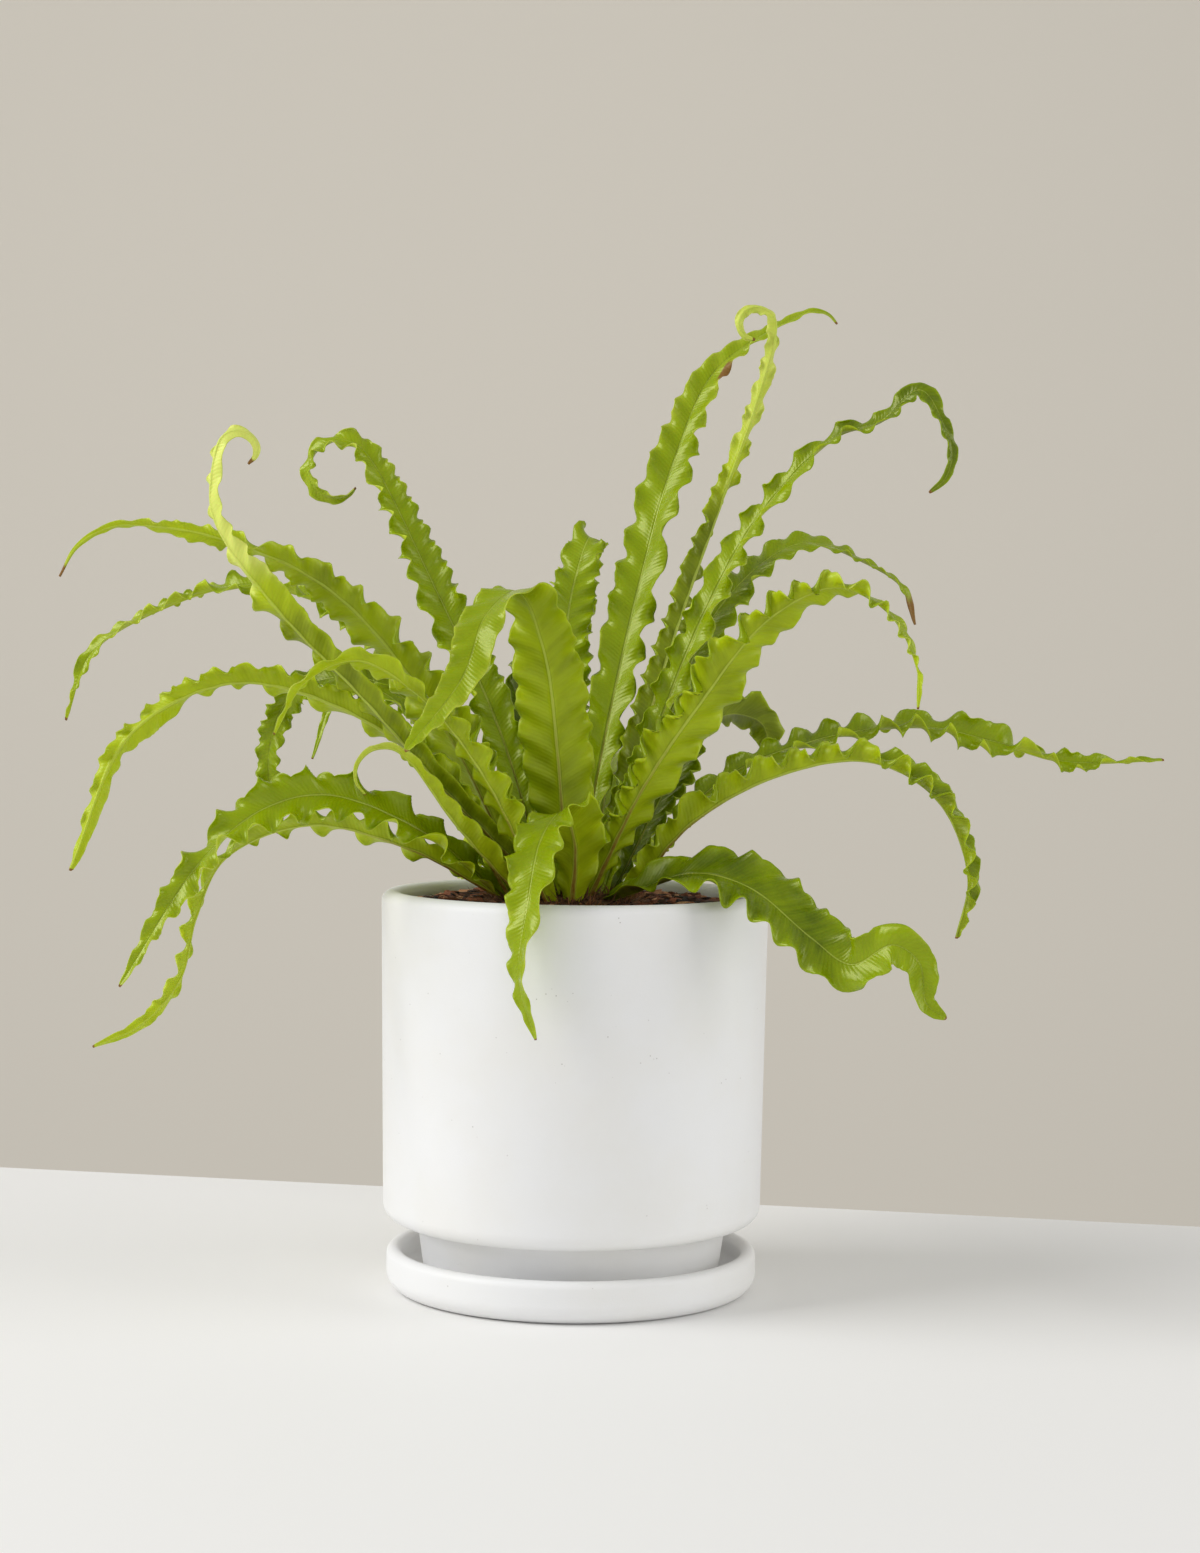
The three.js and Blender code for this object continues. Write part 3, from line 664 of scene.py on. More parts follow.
def turns(rng, count, tilt):
    """count random turns, as matrices: a spin about Z after a tip of up to tilt about X."""
    spin = rng.uniform(0, 2 * np.pi, count)
    tip = rng.uniform(-tilt, tilt, count)
    zero, one = np.zeros(count), np.ones(count)
    about_z = np.array([[np.cos(spin), -np.sin(spin), zero], [np.sin(spin), np.cos(spin), zero],
                        [zero, zero, one]]).transpose(2, 0, 1)
    about_x = np.array([[one, zero, zero], [zero, np.cos(tip), -np.sin(tip)],
                        [zero, np.sin(tip), np.cos(tip)]]).transpose(2, 0, 1)
    return about_z @ about_x


def soil_chips(material, settings):
    """Bark chips: each is a rough lump, a sphere grid of latitude and longitude squared off,
    knocked about and flattened, then turned and laid on the soil."""
    rng = np.random.default_rng(SEEDS["chips"])
    count, rows, columns = settings.chips, 6, 8
    latitude = np.linspace(-np.pi / 2, np.pi / 2, rows)[:, None]
    ball = ring_points(np.cos(latitude), np.sin(latitude), all_round(columns)).reshape(-1, 3)
    ball = np.sign(ball) * np.abs(ball) ** 0.7
    length = rng.uniform(1.2, 4.2, count) * MM
    size = np.stack([length, length * rng.uniform(0.35, 0.8, count),
                     length * rng.uniform(0.15, 0.4, count)], axis=-1)
    rough = 1 + rng.uniform(-0.22, 0.22, (count, rows * columns, 1))
    rough[:, :columns] = 1
    rough[:, -columns:] = 1
    lumps = ball * size[:, None] * rough
    lumps = np.einsum("nij,nkj->nki", turns(rng, count, 0.6), lumps)
    distance = (SOIL_HIGH[0] - 4.5 * MM) * np.sqrt(rng.uniform(0.0, 1, count))
    bearing = rng.uniform(0, 2 * np.pi, count)
    x, y = polar(distance, bearing)
    lumps += np.stack([x, y, soil_height(x, y) + 0.3 * size[:, 2]], axis=-1)[:, None]
    faces = copies(grid_faces(rows, columns, wrap=True), count, rows * columns)
    tone = np.repeat(rng.uniform(0, 1, count), rows * columns)
    return make_piece("soil_chips", lumps, [faces], material, chip_look(tone), flat=True)


def strands(name, material, roots, leans, lengths, widths, droop, flatness, rng):
    """Thin tapered strands. Each leaves its root along its lean and bends down by droop times the
    square of the way along it. Its section is a small ring, wider than deep, that narrows to
    a point."""
    count, rows, columns = len(roots), 8, 4
    way = np.linspace(0, 1, rows)[None, :, None]
    wobble = rng.uniform(-0.18, 0.18, (count, 1, 3)) * np.sin(way * 5)
    reach = lengths[:, None, None]
    middle = roots[:, None] + reach * (way * leans[:, None] + wobble * way)
    middle = middle - np.array([0, 0, 1]) * (droop[:, None, None] * reach * way ** 2)
    side = unit(np.cross(leans, [0, 0, 1.0]))[:, None]
    up = unit(np.cross(side, leans[:, None]))
    taper = (1 - way ** 1.5) * 0.97 + 0.03
    half = widths[:, None, None] * taper
    wide, deep = polar(1, all_round(columns)[:, None])
    ring = wide * side[:, :, None] + flatness * deep * up[:, :, None]
    points = middle[:, :, None] + half[..., None] * ring
    root = np.arange(columns)
    end = root + (rows - 1) * columns
    one = np.concatenate([grid_faces(rows, columns, wrap=True), [root[::-1], end]])
    faces = copies(one, count, rows * columns)[:, ::-1]
    tone = np.repeat(rng.uniform(0, 1, count), rows * columns)
    reached = np.tile(np.repeat(np.linspace(0, 1, rows), columns), count)
    return make_piece(name, points, [faces], material, chip_look(tone, reached))


def soil_fibres(material, settings):
    """Thin pale roots and peat fibres lying on the soil."""
    rng = np.random.default_rng(SEEDS["fibres"])
    count = settings.fibres
    distance = rng.uniform(0.03, 0.068, count)
    bearing = rng.uniform(0, 2 * np.pi, count)
    x, y = polar(distance, bearing)
    roots = np.stack([x, y, soil_height(x, y) + 0.5 * MM], axis=-1)
    heading = rng.uniform(0, 2 * np.pi, count)
    leans = unit(np.stack([*polar(1, heading), rng.uniform(0.05, 0.3, count)], axis=-1))
    lengths = rng.uniform(4, 11, count) * MM
    ends = roots + leans * lengths[:, None]
    inside = np.hypot(ends[:, 0], ends[:, 1]) < SOIL_HIGH[0] - 2 * MM
    return strands("soil_fibres", material, roots[inside], leans[inside], lengths[inside],
                   rng.uniform(0.12, 0.3, count)[inside] * MM,
                   rng.uniform(0.1, 0.35, count)[inside], 0.7, rng)


def crown_dome(material):
    """The crown's dome: rings r and angles a at crown_top, with a fibrous relief of sines, and a
    flat underside. It lies a little under crown_top, and its relief fades in from the middle."""
    segments, sunk, fade_in = 128, 0.8 * MM, 6 * MM
    angles = all_round(segments)
    rings = np.linspace(0.5 * MM, CROWN_RADIUS, 40)[:, None]
    relief = np.sin(angles * 31 + rings * 700) * np.sin(rings * 900 + angles * 5) * 0.6 * MM
    height = crown_top(rings) - sunk + relief * smooth(rings / fade_in)
    height = np.where(rings > CROWN_RADIUS - 1e-6, CROWN_LOW[2], height)
    points = ring_points(rings, height, angles).reshape(-1, 3)
    points = np.concatenate([points, [[0, 0, crown_top(0) - sunk], [0, 0, CROWN_LOW[2]]]])
    points[:, 0] += CROWN_X
    faces = capped_rings(len(rings), segments, downwards=True)
    return make_piece("crown_dome", points, faces, material, chip_look(np.full(len(points), 0.25)))


def crown_scales(material, settings):
    """Dry scales that stand up between the fronds' feet and lean outwards."""
    rng = np.random.default_rng(SEEDS["scales"])
    count = settings.scales
    distance = CROWN_RADIUS * np.sqrt(rng.uniform(0.0, 0.95, count))
    bearing = rng.uniform(0, 2 * np.pi, count)
    outward = ring_points(1, 0, bearing)
    roots = outward * distance[:, None] + [CROWN_X, 0, 0]
    roots[:, 2] = crown_top(distance) - 1.2 * MM
    spread = rng.normal(0, 0.35, (count, 3))
    leans = unit(outward * (0.2 + distance / CROWN_RADIUS)[:, None] + [0, 0, 0.9] + spread)
    return strands("crown_scales", material, roots, leans, rng.uniform(3, 9, count) * MM,
                   rng.uniform(0.25, 0.7, count) * MM, rng.uniform(0, 0.4, count), 0.35, rng)


# ---------------------------------------------------------------- fronds

FINE_STEPS = 24             # points worked out for each span of a path
STATION_GAP = 0.9           # distance between the stations of a midrib, in millimetres
STATIONS = (150, 420)       # the fewest and the most stations of a midrib
FOOT_SUNK = 5               # how far a frond's foot goes on below the crown's top, in millimetres
FOOT_LIFT = 0.9             # where its path starts above the crown's top, in millimetres
FOOT_WIDTH = 7              # across the blade at the foot and at the tip, in millimetres
TIP_WIDTH = 0.8
PEAK = 0.33                 # where a frond is widest, unless it says otherwise
WIDENING = 2.4              # how quickly it widens from the foot, 1 being evenly
FOLD_AT_FOOT = 50           # how far the halves fold up from the middle plane, in degrees
FOLD_ALONG = 18             # and how far after they have opened, unless a frond says otherwise
FOLD_LENGTH = 0.25          # share of the length in which they open
FOLD_CHANGE = (6, 45)       # how much the fold varies, in degrees, and the length of a change
CURL_STEP = 40              # largest turn between two points of a rolled tip, in degrees
CURL_CLOSING = 0.35         # share of its radius that a roll loses by its end
PACE_CHANGE = (0.38, 26)    # how much the waves' pace varies, and the length of a change
DEPTH_CHANGE = (0.6, 13)    # the same for their depth
CALM_FOOT = 0.13            # share of the length in which the waves reach their full depth
RIB_LOSS = 0.7              # share of its size that the midrib loses by the tip
RIDGE = (0.28, 0.95, 0.45)  # height, place and spread of the ridges beside the groove
GROOVE = (0.3, 0, 0.4)      # depth, place and spread of the groove
SWELL = (0.75, 0, 1.2)      # height, place and spread of the swelling on the underside
SWELL_REST = 0.05           # the part of its height that doesn't shrink towards the tip
BARE_TONE = (0.46, 0.6)     # tones at the foot and at the tip, unless a frond gives its own
YOUNG_FROM = (0.58, 0.17)   # where the tip's tone starts, and the share in which it takes over
DRY_TIP = 0.004             # how far the brown reaches back from the tip, if the frond doesn't say
SCAR_SPREAD = 0.025         # half length of a scar, as a share of the frond's length


def rolled_tip(path, radius, turn):
    """The points of a rolled tip: short strides in the upright plane that faces the front, each
    turned from the one before by the same angle, and each shorter because the roll closes."""
    before, last = path[-2], path[-1]
    steps = math.ceil(abs(turn) / CURL_STEP)
    bend = math.radians(turn) / steps
    heading = math.atan2(last[2] - before[2], last[0] - before[0])
    count = np.arange(steps)
    angle = heading - bend * (count + 0.5)
    stride = radius * abs(bend) * (1 - CURL_CLOSING * count / steps)
    moves = np.stack([stride * np.cos(angle), 0 * angle, stride * np.sin(angle)], axis=-1)
    return last + np.cumsum(moves, axis=0)


def through(points, steps):
    """A centripetal Catmull-Rom curve: on each span a cubic whose end slopes come from the four
    points about it, each stretch timed by the square root of its length. The first and last
    points are repeated beyond the ends by mirroring."""
    points = np.asarray(points, dtype=float)
    whole = np.concatenate([[2 * points[0] - points[1]], points, [2 * points[-1] - points[-2]]])
    before, start, end, after = whole[:-3], whole[1:-2], whole[2:-1], whole[3:]
    gaps = np.sqrt(np.linalg.norm(np.diff(whole, axis=0), axis=1))[:, None]
    first, middle, last = gaps[:-2], gaps[1:-1], gaps[2:]
    leave = ((start - before) / first - (end - before) / (first + middle)
             + (end - start) / middle) * middle
    arrive = ((end - start) / middle - (after - start) / (middle + last)
              + (after - end) / last) * middle
    t = (np.arange(steps) / steps)[None, :, None]
    start, end, leave, arrive = (part[:, None] for part in (start, end, leave, arrive))
    curve = (start + leave * t + (3 * (end - start) - 2 * leave - arrive) * t ** 2
             + (2 * (start - end) + leave + arrive) * t ** 3)
    return np.concatenate([curve.reshape(-1, 3), points[-1:]])


def carried(tangents, facing):
    """The facing at each station: the last one less its part along the new tangent, so that the
    blade follows its midrib without turning about it."""
    result = np.empty_like(tangents)
    for i, tangent in enumerate(tangents):
        facing = facing - tangent * (facing @ tangent)
        facing = facing / np.linalg.norm(facing)
        result[i] = facing
    return result


def twisted(facing, tangents, angle):
    """The facing turned about the tangent by an angle at each station."""
    angle = angle[:, None]
    return facing * np.cos(angle) - np.cross(facing, tangents) * np.sin(angle)


def blade_width(frond, share):
    """Widens quickly from the foot to the peak, then narrows to the tip by a power, its taper, of
    the share of the way that is left."""
    peak = frond.get("peak", PEAK)
    rise = 1 - (1 - np.clip(share / peak, 0, 1)) ** WIDENING
    fall = (np.clip(1 - share, 0, 1) / (1 - peak)) ** frond.get("taper", 1)
    return np.where(share < peak, FOOT_WIDTH + (frond["width"] - FOOT_WIDTH) * rise,
                    TIP_WIDTH + (frond["width"] - TIP_WIDTH) * fall)


def midrib(frond):
    """The midrib's stations, evenly spaced: points, tangents, facings and shares of the length,
    with the length, all in millimetres."""
    bearing, radius = math.radians(frond["bearing"]), RING[frond["ring"]]
    foot_height = crown_top(radius * MM) / MM + FOOT_LIFT
    foot = np.array([CROWN_X / MM + radius * math.cos(bearing), radius * math.sin(bearing),
                     foot_height])
    points = np.array([foot, *frond["path"]], dtype=float)
    if "curl" in frond:
        points = np.concatenate([points, rolled_tip(points, *frond["curl"])])
    dense = through(points, FINE_STEPS)
    sunk = dense[0] - FOOT_SUNK * unit(dense[1] - dense[0])
    dense = np.concatenate([[sunk], dense])
    facing = carried(unit(np.gradient(dense, axis=0)), np.array(frond["face"], dtype=float))
    way = np.concatenate([[0], np.cumsum(np.linalg.norm(np.diff(dense, axis=0), axis=1))])
    length = way[-1]
    stations = np.linspace(0, length, int(np.clip(length / STATION_GAP, *STATIONS)))

    def even(values):
        return np.stack([np.interp(stations, way, values[:, i]) for i in range(3)], axis=-1)

    centre = even(dense)
    tangents = unit(np.gradient(centre, axis=0))
    facing = even(facing)
    facing = unit(facing - tangents * np.sum(facing * tangents, axis=-1, keepdims=True))
    share = stations / length
    keys = [(0, 0), *frond.get("twist", [])]
    turned_by = sum((end - start) * smooth((share - begin) / (finish - begin))
                    for (begin, start), (finish, end) in zip(keys[:-1], keys[1:]))
    facing = twisted(facing, tangents, np.radians(turned_by) * np.ones(len(share)))
    return centre, tangents, facing, share, length


def half_blade(rng, way, share, half, fold, ruffle, lobes, stretch, settings):
    """One half of a blade's middle surface, from the midrib, a = 0, to the margin, a = 1: how far
    across it is and how far it rises, over the stations and a.

    Its section is a curve of fixed length. The curve's slope starts at the fold and gains a wave
    times a power of a, so a deep wave rolls the margin over and also reaches further in. The
    cosine and the sine of the slope, summed outwards, give the way across and the rise. The wave
    runs along the margin at a varying pace and depth, and is slanted with the side veins. The
    half's length is lobed with the wave and notched by small teeth. Soft bumps, one for each
    wave, rise between the midrib and the margin."""
    t = np.linspace(0, 1, settings.across // 2 + 1)
    half = half * settings.fullness
    a = (t * (0.6 + 0.4 * t))[None, :]
    period = stretch * settings.ruffle_period * (0.6 + 0.4 * np.minimum(1, half / 10))
    change, stretch_of_change = PACE_CHANGE
    pace = (1 + change * wander(rng, way, stretch_of_change)) / period
    angle = rng.uniform(0, 2 * np.pi) + np.cumsum(np.gradient(way) * pace) * 2 * np.pi
    change, stretch_of_change = DEPTH_CHANGE
    depth = ruffle * settings.ruffle_depth * (1 + change * wander(rng, way, stretch_of_change))
    depth = depth * smooth(share / CALM_FOOT) * smooth(half / 3) * (1 - 0.4 * share ** 6)

    slanted = np.clip(way[:, None] - settings.slant * a * half[:, None], 0, way[-1])
    phase = np.interp(slanted, way, angle)
    wave = np.sin(phase) + 0.16 * np.sin(2 * phase + 0.9)
    bend = settings.ruffle_bend * depth[:, None] * wave
    slope = fold[:, None] * (1 - 0.3 * a) + bend * a ** (settings.margin / max(1, ruffle))

    lobe = np.abs(np.sin(angle / 2 + 0.8)) ** 0.7 - 0.7
    tooth = np.abs(np.sin(way * np.pi / settings.tooth_pitch + 2 * np.sin(way * 0.31)))
    tooth = tooth * (0.6 + 0.4 * wander(rng, way, 5)) * smooth(half / 7) * smooth(share / 0.12)
    lobe = settings.lobe_depth * (1 + share) * lobes * np.minimum(depth, 1) * lobe * half
    margin = lobe[:, None] - settings.tooth_depth * tooth[:, None]
    reach = half[:, None] * a + margin * a ** 3
    steps = np.diff(reach, axis=1)

    def summed(values):
        middle = (values[:, 1:] + values[:, :-1]) / 2
        return np.pad(np.cumsum(middle * steps, axis=1), ((0, 0), (1, 0)))

    pucker = 0.9 * settings.pucker * smooth(half / 9) * smooth(share / 0.1)
    swell = pucker[:, None] * np.sin(phase + 1.2) * 4 * a * (1 - a)
    return summed(np.cos(slope)), summed(np.sin(slope)) + swell


def blade(name, frond, number, material, settings):
    """One frond. Its middle surface is the midrib plus its two halves. The upper and under sheets
    lie half a thickness to each side of that surface. The upper one has a fine groove along the
    midrib between two low ridges, and the under one swells there."""
    rng = np.random.default_rng(SEEDS["fronds"] + number)
    centre, tangents, facing, share, length = midrib(frond)
    way = share * length
    rocked = wander(rng, way, settings.rock_length) * smooth((share - 0.35) / 0.4)
    rocked = rocked * np.mean(frond.get("ruffle", (1, 1)))
    facing = twisted(facing, tangents, settings.rock * rocked)
    side = np.cross(tangents, facing)
    half = blade_width(frond, share) / 2
    opened = smooth(share / FOLD_LENGTH)
    fold = FOLD_AT_FOOT + (frond.get("fold", FOLD_ALONG) - FOLD_AT_FOOT) * opened
    change, stretch_of_change = FOLD_CHANGE
    halves = []
    for ruffle, lobes in zip(frond.get("ruffle", (1, 1)), frond.get("lobes", (1, 1))):
        own_fold = np.radians(fold + change * wander(rng, way, stretch_of_change))
        halves.append(half_blade(rng, way, share, half, own_fold, ruffle, lobes,
                                 frond.get("stretch", 1), settings))
    (left, left_rise), (right, right_rise) = halves
    across = np.concatenate([-left[:, :0:-1], right], axis=1)
    rise = np.concatenate([left_rise[:, :0:-1], right_rise], axis=1)
    rows, columns = across.shape
    out = np.abs(np.linspace(-1, 1, columns))[None, :]
    s = share[:, None]

    surface = (centre[:, None] + across[..., None] * side[:, None]
               + rise[..., None] * facing[:, None])
    normal = unit(np.cross(np.gradient(surface, axis=0), np.gradient(surface, axis=1)))
    looks = np.sum(normal * facing[:, None], axis=-1)
    normal = normal * np.sign(looks[:, columns // 2].mean())

    rib = 1 - RIB_LOSS * s
    from_rib = np.abs(across) / rib
    broad = smooth(half / 6)[:, None]
    ridge = RIDGE[0] * broad * rib * hump(from_rib, *RIDGE[1:])
    groove = GROOVE[0] * broad * rib * hump(from_rib, *GROOVE[1:]) * smooth(s / 0.06)
    swell = (SWELL[0] * rib + SWELL_REST) * hump(from_rib, *SWELL[1:])
    leaf = settings.thickness / 2 * (1 - 0.45 * out ** 4)
    upper = surface + normal * (leaf + ridge - groove)[..., None]
    lower = surface - normal * (leaf + swell)[..., None]
    points = np.concatenate([upper, lower[:, ::-1]], axis=1) * MM

    ring = 2 * columns
    ends = np.arange(columns - 1)
    foot_cap = np.stack([ends, ends + 1, ring - 2 - ends, ring - 1 - ends], axis=-1)
    last = (rows - 1) * ring
    tip_cap = last + foot_cap[:, ::-1]
    faces = [grid_faces(rows, ring, wrap=True)[:, ::-1], foot_cap, tip_cap]

    brown = frond.get("brown", DRY_TIP)
    dry = smooth((s - 1 + 2 * brown) / (2 * brown)) + 0.15 * out ** 6 * smooth((s - 0.8) / 0.2)
    if "scar" in frond:
        on_right = smooth((across / half[:, None] - 0.35) / 0.3)
        dry = dry + 0.9 * on_right * hump(s, frond["scar"], SCAR_SPREAD)
    sheet = np.ones((rows, columns))
    under = np.concatenate([0 * sheet, sheet], axis=1)
    # Painted shade: besides age, a low tone darkens fronds that lie in shade
    foot_tone, tip_tone = frond.get("tone", BARE_TONE)
    begin, run = YOUNG_FROM
    tone = foot_tone + (tip_tone - foot_tone) * smooth((s - begin) / run) + 0.22 * out ** 8
    signed = np.linspace(-1, 1, columns)[None, :] * half[:, None]

    def both(values):
        return np.concatenate([values, values[:, ::-1]], axis=1).ravel()

    fields = {
        "blade": np.stack([both(way[:, None] * sheet) * MM, both(signed) * MM,
                           both(s * sheet)], axis=-1),
        "look": np.stack([under.ravel(), both(tone * sheet), both(dry * sheet)], axis=-1),
    }
    return make_piece(name + "_blade", points, faces, material, fields)


# ---------------------------------------------------------------- settings

def colour_property(name, description, red, green, blue):
    """A colour setting whose default is given in sRGB from 0 to 255."""
    return bpy.props.FloatVectorProperty(
        name=name, description=description, subtype="COLOR", size=3, min=0, max=1,
        default=linear(red, green, blue))


def number_property(name, description, default, low, high, subtype="NONE"):
    """A number setting with its limits."""
    return bpy.props.FloatProperty(name=name, description=description, default=default, min=low,
                                   max=high, subtype=subtype)


def size_property(name, description, default, low, high):
    """A size setting in millimetres."""
    return number_property(name, description + ", in millimetres", default, low, high)


def angle_property(name, description, degrees, most):
    """An angle setting, with its default and its limit given in degrees."""
    return number_property(name, description, math.radians(degrees), 0, math.radians(most),
                           subtype="ANGLE")


def power_property(name, description, default):
    """The power of a light, in watts."""
    return number_property(name, description + ", in watts", default, 0, 500)


def gloss_property(description, default):
    """The roughness of a surface."""
    return number_property("Roughness", description, default, 0, 1, subtype="FACTOR")


def count_property(name, description, default):
    """How many small pieces there are."""
    return bpy.props.IntProperty(name=name, description=description, default=default, min=0,
                                 max=3000)


class PlanterSettings(bpy.types.PropertyGroup):
    """Sizes and finish of the pot and the saucer."""
    saucer_wall: size_property("Saucer wall", "Thickness of the saucer's wall", 6.5, 3, 10)
    saucer_floor: size_property("Saucer floor", "Thickness of the saucer's floor", 6, 3, 8)
    pot_wall: size_property("Pot wall", "Thickness of the pot's wall", 9, 5, 12)
    pot_base_radius: size_property("Base radius", "Outer radius at the bottom of the body",
                                   80.7, 70, 82.5)
    body_bottom: size_property("Body bottom", "Height of the body's underside", 30, 20, 40)
    speck_density: number_property("Speck density", "Specks for each metre along one way",
                                   330, 0, 1000)
    roughness: gloss_property("How matte the ceramic is", 0.5)
    colour: colour_property("Ceramic", "Colour of the ceramic", 238, 238, 238)
    warm_colour: colour_property("Ceramic cloud", "Second, warmer white", 236, 235, 232)
    speck_colour: colour_property("Specks", "Colour of the tiny specks", 120, 112, 100)


class SoilSettings(bpy.types.PropertyGroup):
    """The potting mix and the crown."""
    chips: count_property("Bark chips", "How many chips lie on the soil", 900)
    fibres: count_property("Fibres", "How many peat fibres lie on the soil", 420)
    scales: count_property("Crown scales", "How many dry scales cover the crown", 900)
    colour: colour_property("Soil", "Colour of the crumbs", 70, 44, 30)
    # The dark soil colour is partly painted shade between the crumbs; the bark also uses it
    dark_and_shade_colour: colour_property("Soil in the dark", "Colour between the crumbs", 28, 17, 11)
    light_colour: colour_property("Soil patches", "Colour of the drier patches", 104, 82, 70)
    bark_colour: colour_property("Bark", "Colour of most chips", 132, 74, 42)
    bark_light_colour: colour_property("Light bark", "Colour of a few chips", 200, 150, 108)
    scale_dark: colour_property("Dark scales", "Colour of the crown at its base", 58, 38, 20)
    scale_light: colour_property("Light scales", "Colour of the scales' ends", 158, 106, 58)


class FrondSettings(bpy.types.PropertyGroup):
    """Shape and finish of the fronds."""
    across: bpy.props.IntProperty(
        name="Points across", description="Points across a blade, an odd number", default=29,
        min=9, max=41)
    thickness: size_property("Thickness", "Thickness of a blade", 0.5, 0.2, 1)
    ruffle_period: size_property("Ruffle period", "Length of one edge wave", 16, 5, 30)
    ruffle_depth: number_property("Ruffle depth", "Scales all edge waves", 1, 0, 2)
    ruffle_bend: angle_property("Ruffle bend", "How far a usual wave turns the margin", 105, 180)
    margin: number_property("Margin", "How closely the waves keep to the margin, as a power",
                            2.6, 1, 6)
    fullness: number_property("Fullness", "Leaf in the ruffled width for each millimetre of width",
                              1.14, 1, 1.5)
    rock: angle_property("Rock", "How far the outer part of a blade rocks about its midrib", 45, 90)
    rock_length: size_property("Rock length", "Distance between its turns", 22, 5, 100)
    slant: number_property("Slant", "How far the waves run on along the blade, for each "
                           "millimetre outwards", 0.6, 0, 2)
    lobe_depth: number_property("Lobe depth", "Depth of the lobes, as a share of the half width",
                                0.17, 0, 0.5)
    pucker: size_property("Pucker", "Height of the soft bumps inside the blade", 0.45, 0, 2)
    tooth_pitch: size_property("Tooth pitch", "Distance between small teeth", 4.8, 2, 10)
    tooth_depth: size_property("Tooth depth", "Depth of the small teeth", 0.35, 0, 2)
    rib_width: size_property("Rib width", "Half width of the midrib's line", 1.15, 0.2, 3)
    vein_pitch: size_property("Vein pitch", "Distance between side veins", 1.7, 0.5, 5)
    vein_relief: number_property("Vein relief", "Scales the veins' relief", 1, 0, 4)
    roughness: gloss_property("How matte the upper side is", 0.27)
    colour: colour_property("Green", "Upper side of a full-grown frond", 139, 159, 0)
    old_and_shade_colour: colour_property("Old green", "Upper side of an old frond", 64, 84, 0)
    # The old greens also paint shade on fronds that lie in shade
    young_colour: colour_property("Young green", "Upper side of a young frond", 194, 204, 62)
    under_colour: colour_property("Underside", "Underside of a full-grown frond", 170, 187, 12)
    under_old_and_shade_colour: colour_property("Old underside", "Underside of an old frond", 100, 114, 0)
    under_young_colour: colour_property("Young underside", "Underside of a young frond",
                                        210, 218, 104)
    vein_colour: colour_property("Veins", "Colour of the side veins", 160, 180, 60)
    rib_colour: colour_property("Midrib", "Colour of the midrib", 190, 204, 90)
    foot_colour: colour_property("Frond foot", "Colour of the midrib near the crown", 126, 68, 10)
    dry_colour: colour_property("Dry tip", "Colour of a dry tip", 128, 88, 42)


class StageSettings(bpy.types.PropertyGroup):
    """Camera, light, table and backdrop."""
    lens: size_property("Lens", "Focal length of the camera", 65.4, 20, 200)
    camera_place: bpy.props.FloatVectorProperty(
        name="Camera place", description="Where the camera stands", subtype="TRANSLATION",
        unit="LENGTH", default=(0.010, -1.204, 0.261))
    camera_drop: angle_property("Camera drop", "How far the camera looks down", 2, 90)
    camera_roll: angle_property("Camera roll", "How far the camera leans to its left", 0.7, 90)
    table_colour: colour_property("Table", "Colour of the table", 243, 242, 240)
    wall_colour: colour_property("Backdrop", "Colour of the backdrop", 248, 240, 225)
    key_power: power_property("Key light", "Power of the large light on the left", 40)
    fill_power: power_property("Fill light", "Power of the light on the right", 12)
    front_power: power_property("Front light", "Power of the soft light from the front", 5)
    sky_strength: number_property("Room light", "Strength of the light from all round", 0.44, 0, 5)


# ---------------------------------------------------------------- operators

class FERN_OT_planter(bpy.types.Operator):
    """Make the ceramic pot and its saucer"""
    bl_idname = "fern.planter"
    bl_label = "Planter"

    def execute(self, context):
        settings = context.scene.fern_planter
        ceramic = ceramic_finish("ceramic", settings)
        profiles = {"saucer": saucer_profile(settings), "pot": pot_profile(settings)}
        for node, profile in profiles.items():
            piece = turned(node + "_ceramic", profile, ceramic)
            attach(piece, "root")
            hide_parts(node)
        return {"FINISHED"}


class FERN_OT_soil(bpy.types.Operator):
    """Make the soil with its chips and fibres"""
    bl_idname = "fern.soil"
    bl_label = "Soil"

    def execute(self, context):
        settings = context.scene.fern_soil
        bark = bark_finish(settings)
        surface = soil_surface(soil_finish(settings))
        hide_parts("soil")
        for piece in (surface, soil_chips(bark, settings), soil_fibres(bark, settings)):
            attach(piece, "root")
        return {"FINISHED"}


class FERN_OT_crown(bpy.types.Operator):
    """Make the fibrous crown that the fronds grow from"""
    bl_idname = "fern.crown"
    bl_label = "Crown"

    def execute(self, context):
        settings = context.scene.fern_soil
        finish = crown_finish(settings)
        dome = crown_dome(finish)
        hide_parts("crown")
        for piece in (dome, crown_scales(finish, settings)):
            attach(piece, "root")
        return {"FINISHED"}


class FERN_OT_fronds(bpy.types.Operator):
    """Make every frond"""
    bl_idname = "fern.fronds"
    bl_label = "Fronds"

    def execute(self, context):
        settings = context.scene.fern_fronds
        finish = frond_finish(settings)
        for number, (name, frond) in enumerate(FRONDS.items()):
            piece = blade(name, frond, number, finish, settings)
            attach(piece, "root")
            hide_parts(name)
        return {"FINISHED"}


SENSOR_WIDTH = 36                   # of the camera, in millimetres
SKY_COLOUR = (0.975, 0.985, 1, 1)   # a slightly cool white
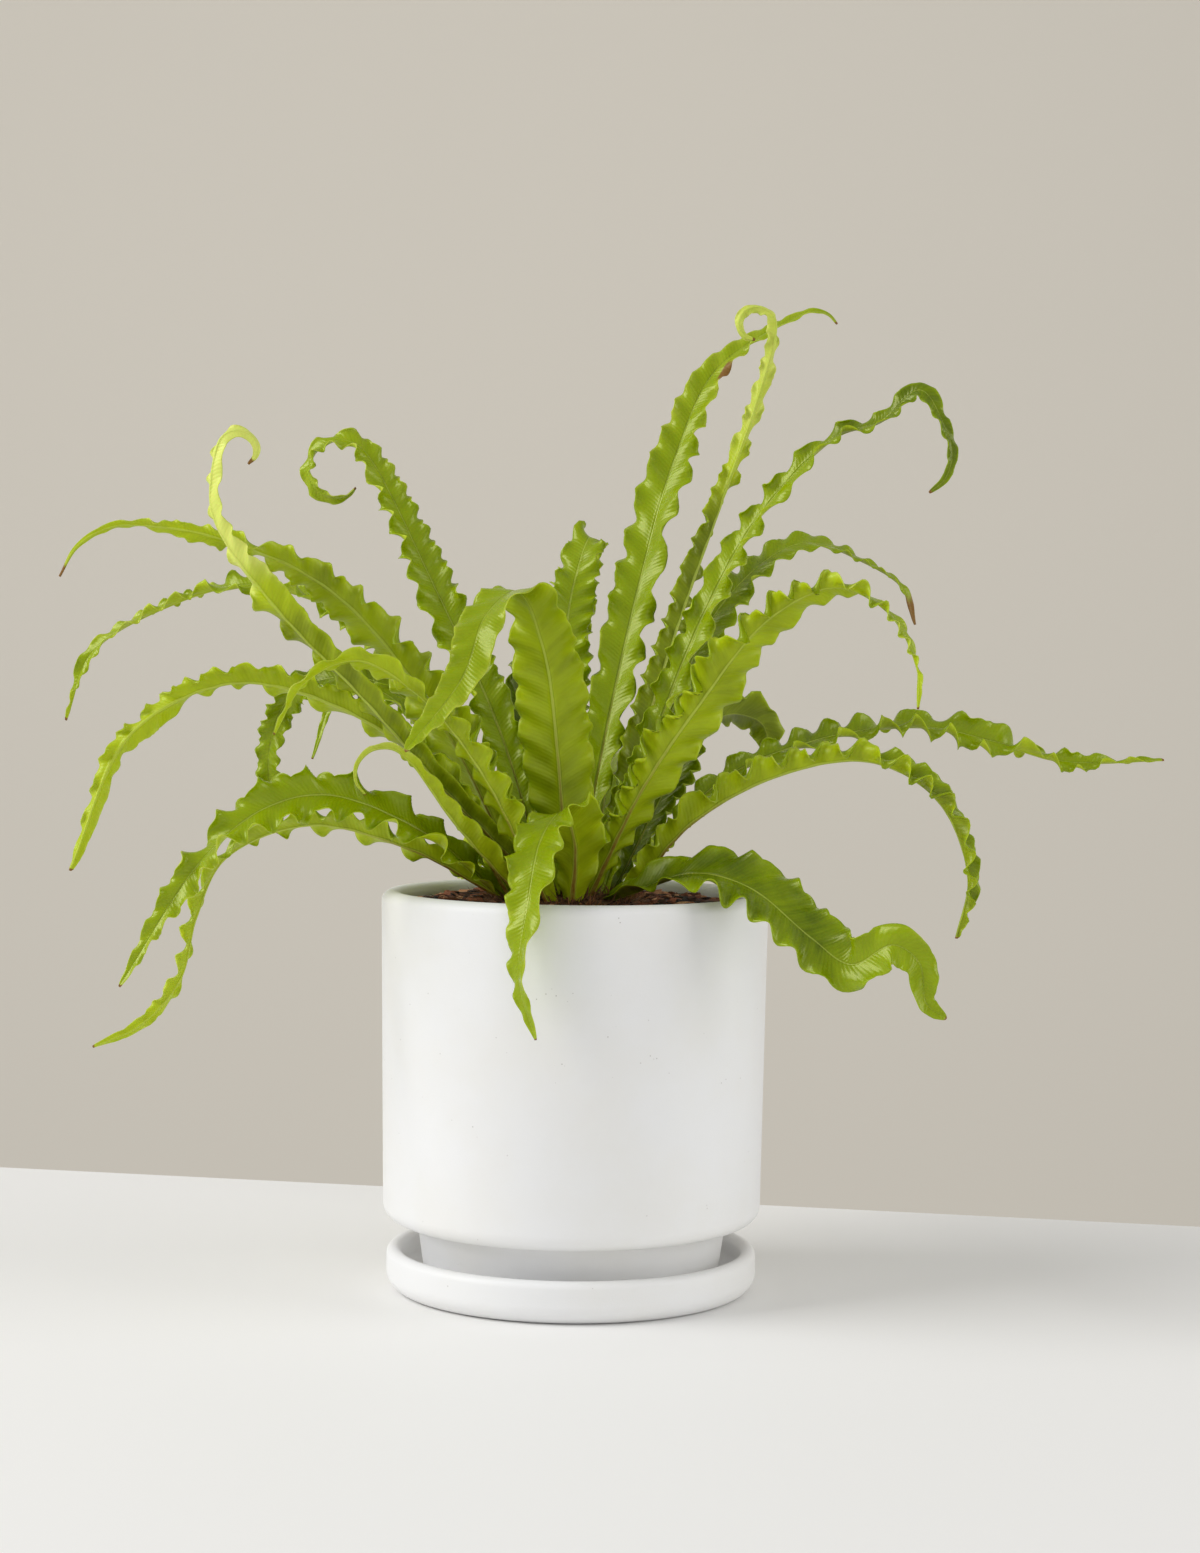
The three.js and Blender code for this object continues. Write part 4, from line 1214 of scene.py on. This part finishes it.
# The table's far edge runs aslant, and the backdrop stands well behind it. Both are in metres.
TABLE_CORNERS = [(-3, -3, 0), (3, -3, 0), (3, -0.4, 0), (-3, 0.82, 0)]
BACKDROP_CORNERS = [(-9, 3.2, -4), (9, 3.2, -4), (9, 3.2, 6), (-9, 3.2, 6)]


def flat_sheet(name, corners, material):
    """A flat stage sheet with these corners, in order."""
    mesh = bpy.data.meshes.new(name)
    mesh.from_pydata([tuple(corner) for corner in corners], [], [tuple(range(len(corners)))])
    mesh.materials.append(material)
    sheet = bpy.data.objects.new(name, mesh)
    bpy.context.scene.collection.objects.link(sheet)


def area_light(name, place, target, size, power):
    """A square area light that faces its target."""
    lamp = bpy.data.lights.new(name, "AREA")
    lamp.size, lamp.energy = size, power
    light = bpy.data.objects.new(name, lamp)
    place, target = np.array(place), np.array(target)
    back = unit(place - target)
    right = unit(np.cross([0, 0, 1], back))
    up = np.cross(back, right)
    turn = Matrix([right, up, back]).transposed().to_4x4()
    light.matrix_world = Matrix.Translation(place) @ turn
    bpy.context.scene.collection.objects.link(light)


class FERN_OT_stage(bpy.types.Operator):
    """Make the camera, the lights, the table and the backdrop"""
    bl_idname = "fern.stage"
    bl_label = "Stage"

    def execute(self, context):
        scene, settings = context.scene, context.scene.fern_stage
        camera = bpy.data.objects.new("camera", bpy.data.cameras.new("camera"))
        camera.data.lens = settings.lens
        camera.data.sensor_width = SENSOR_WIDTH
        tilt = Matrix.Rotation(math.pi / 2 - settings.camera_drop, 4, "X")
        roll = Matrix.Rotation(settings.camera_roll, 4, "Z")
        camera.matrix_world = Matrix.Translation(settings.camera_place) @ tilt @ roll
        scene.collection.objects.link(camera)
        scene.camera = camera

        table = plain_finish("table", tuple(settings.table_colour), roughness=0.6)
        wall = plain_finish("backdrop", tuple(settings.wall_colour), roughness=0.9)
        flat_sheet("table", TABLE_CORNERS, table)
        flat_sheet("backdrop", BACKDROP_CORNERS, wall)

        area_light("key", (-1.9, -0.5, 1.5), (0, 0, 0.2), 1.5, settings.key_power)
        area_light("fill", (1.8, -0.4, 0.8), (0, 0, 0.2), 1.2, settings.fill_power)
        area_light("front", (0.4, -2.4, 0.9), (0, 0, 0.15), 1.6, settings.front_power)

        world = bpy.data.worlds.new("room")
        world.use_nodes = True
        sky = world.node_tree.nodes["Background"]
        sky.inputs["Color"].default_value = SKY_COLOUR
        sky.inputs["Strength"].default_value = settings.sky_strength
        scene.world = world
        scene.view_settings.view_transform = "Standard"
        return {"FINISHED"}


class FERN_PT_panel(bpy.types.Panel):
    """Lists the pieces that can be made"""
    bl_label = "Potted Fern"
    bl_space_type = "VIEW_3D"
    bl_region_type = "UI"
    bl_category = "Potted Fern"

    def draw(self, context):
        for operator in OPERATORS:
            self.layout.operator(operator.bl_idname)


SETTINGS = {
    "fern_planter": PlanterSettings,
    "fern_soil": SoilSettings,
    "fern_fronds": FrondSettings,
    "fern_stage": StageSettings,
}
OPERATORS = (FERN_OT_stage, FERN_OT_planter, FERN_OT_soil, FERN_OT_crown, FERN_OT_fronds)


def register():
    for name, group in SETTINGS.items():
        bpy.utils.register_class(group)
        setattr(bpy.types.Scene, name, bpy.props.PointerProperty(type=group))
    for made in (*OPERATORS, FERN_PT_panel):
        bpy.utils.register_class(made)


def unregister():
    for made in reversed((*OPERATORS, FERN_PT_panel)):
        bpy.utils.unregister_class(made)
    for name, group in reversed(SETTINGS.items()):
        delattr(bpy.types.Scene, name)
        bpy.utils.unregister_class(group)


def main():
    register()
    for operator in OPERATORS:
        getattr(bpy.ops.fern, operator.bl_idname.split(".")[1])()


if __name__ == "__main__":
    main()
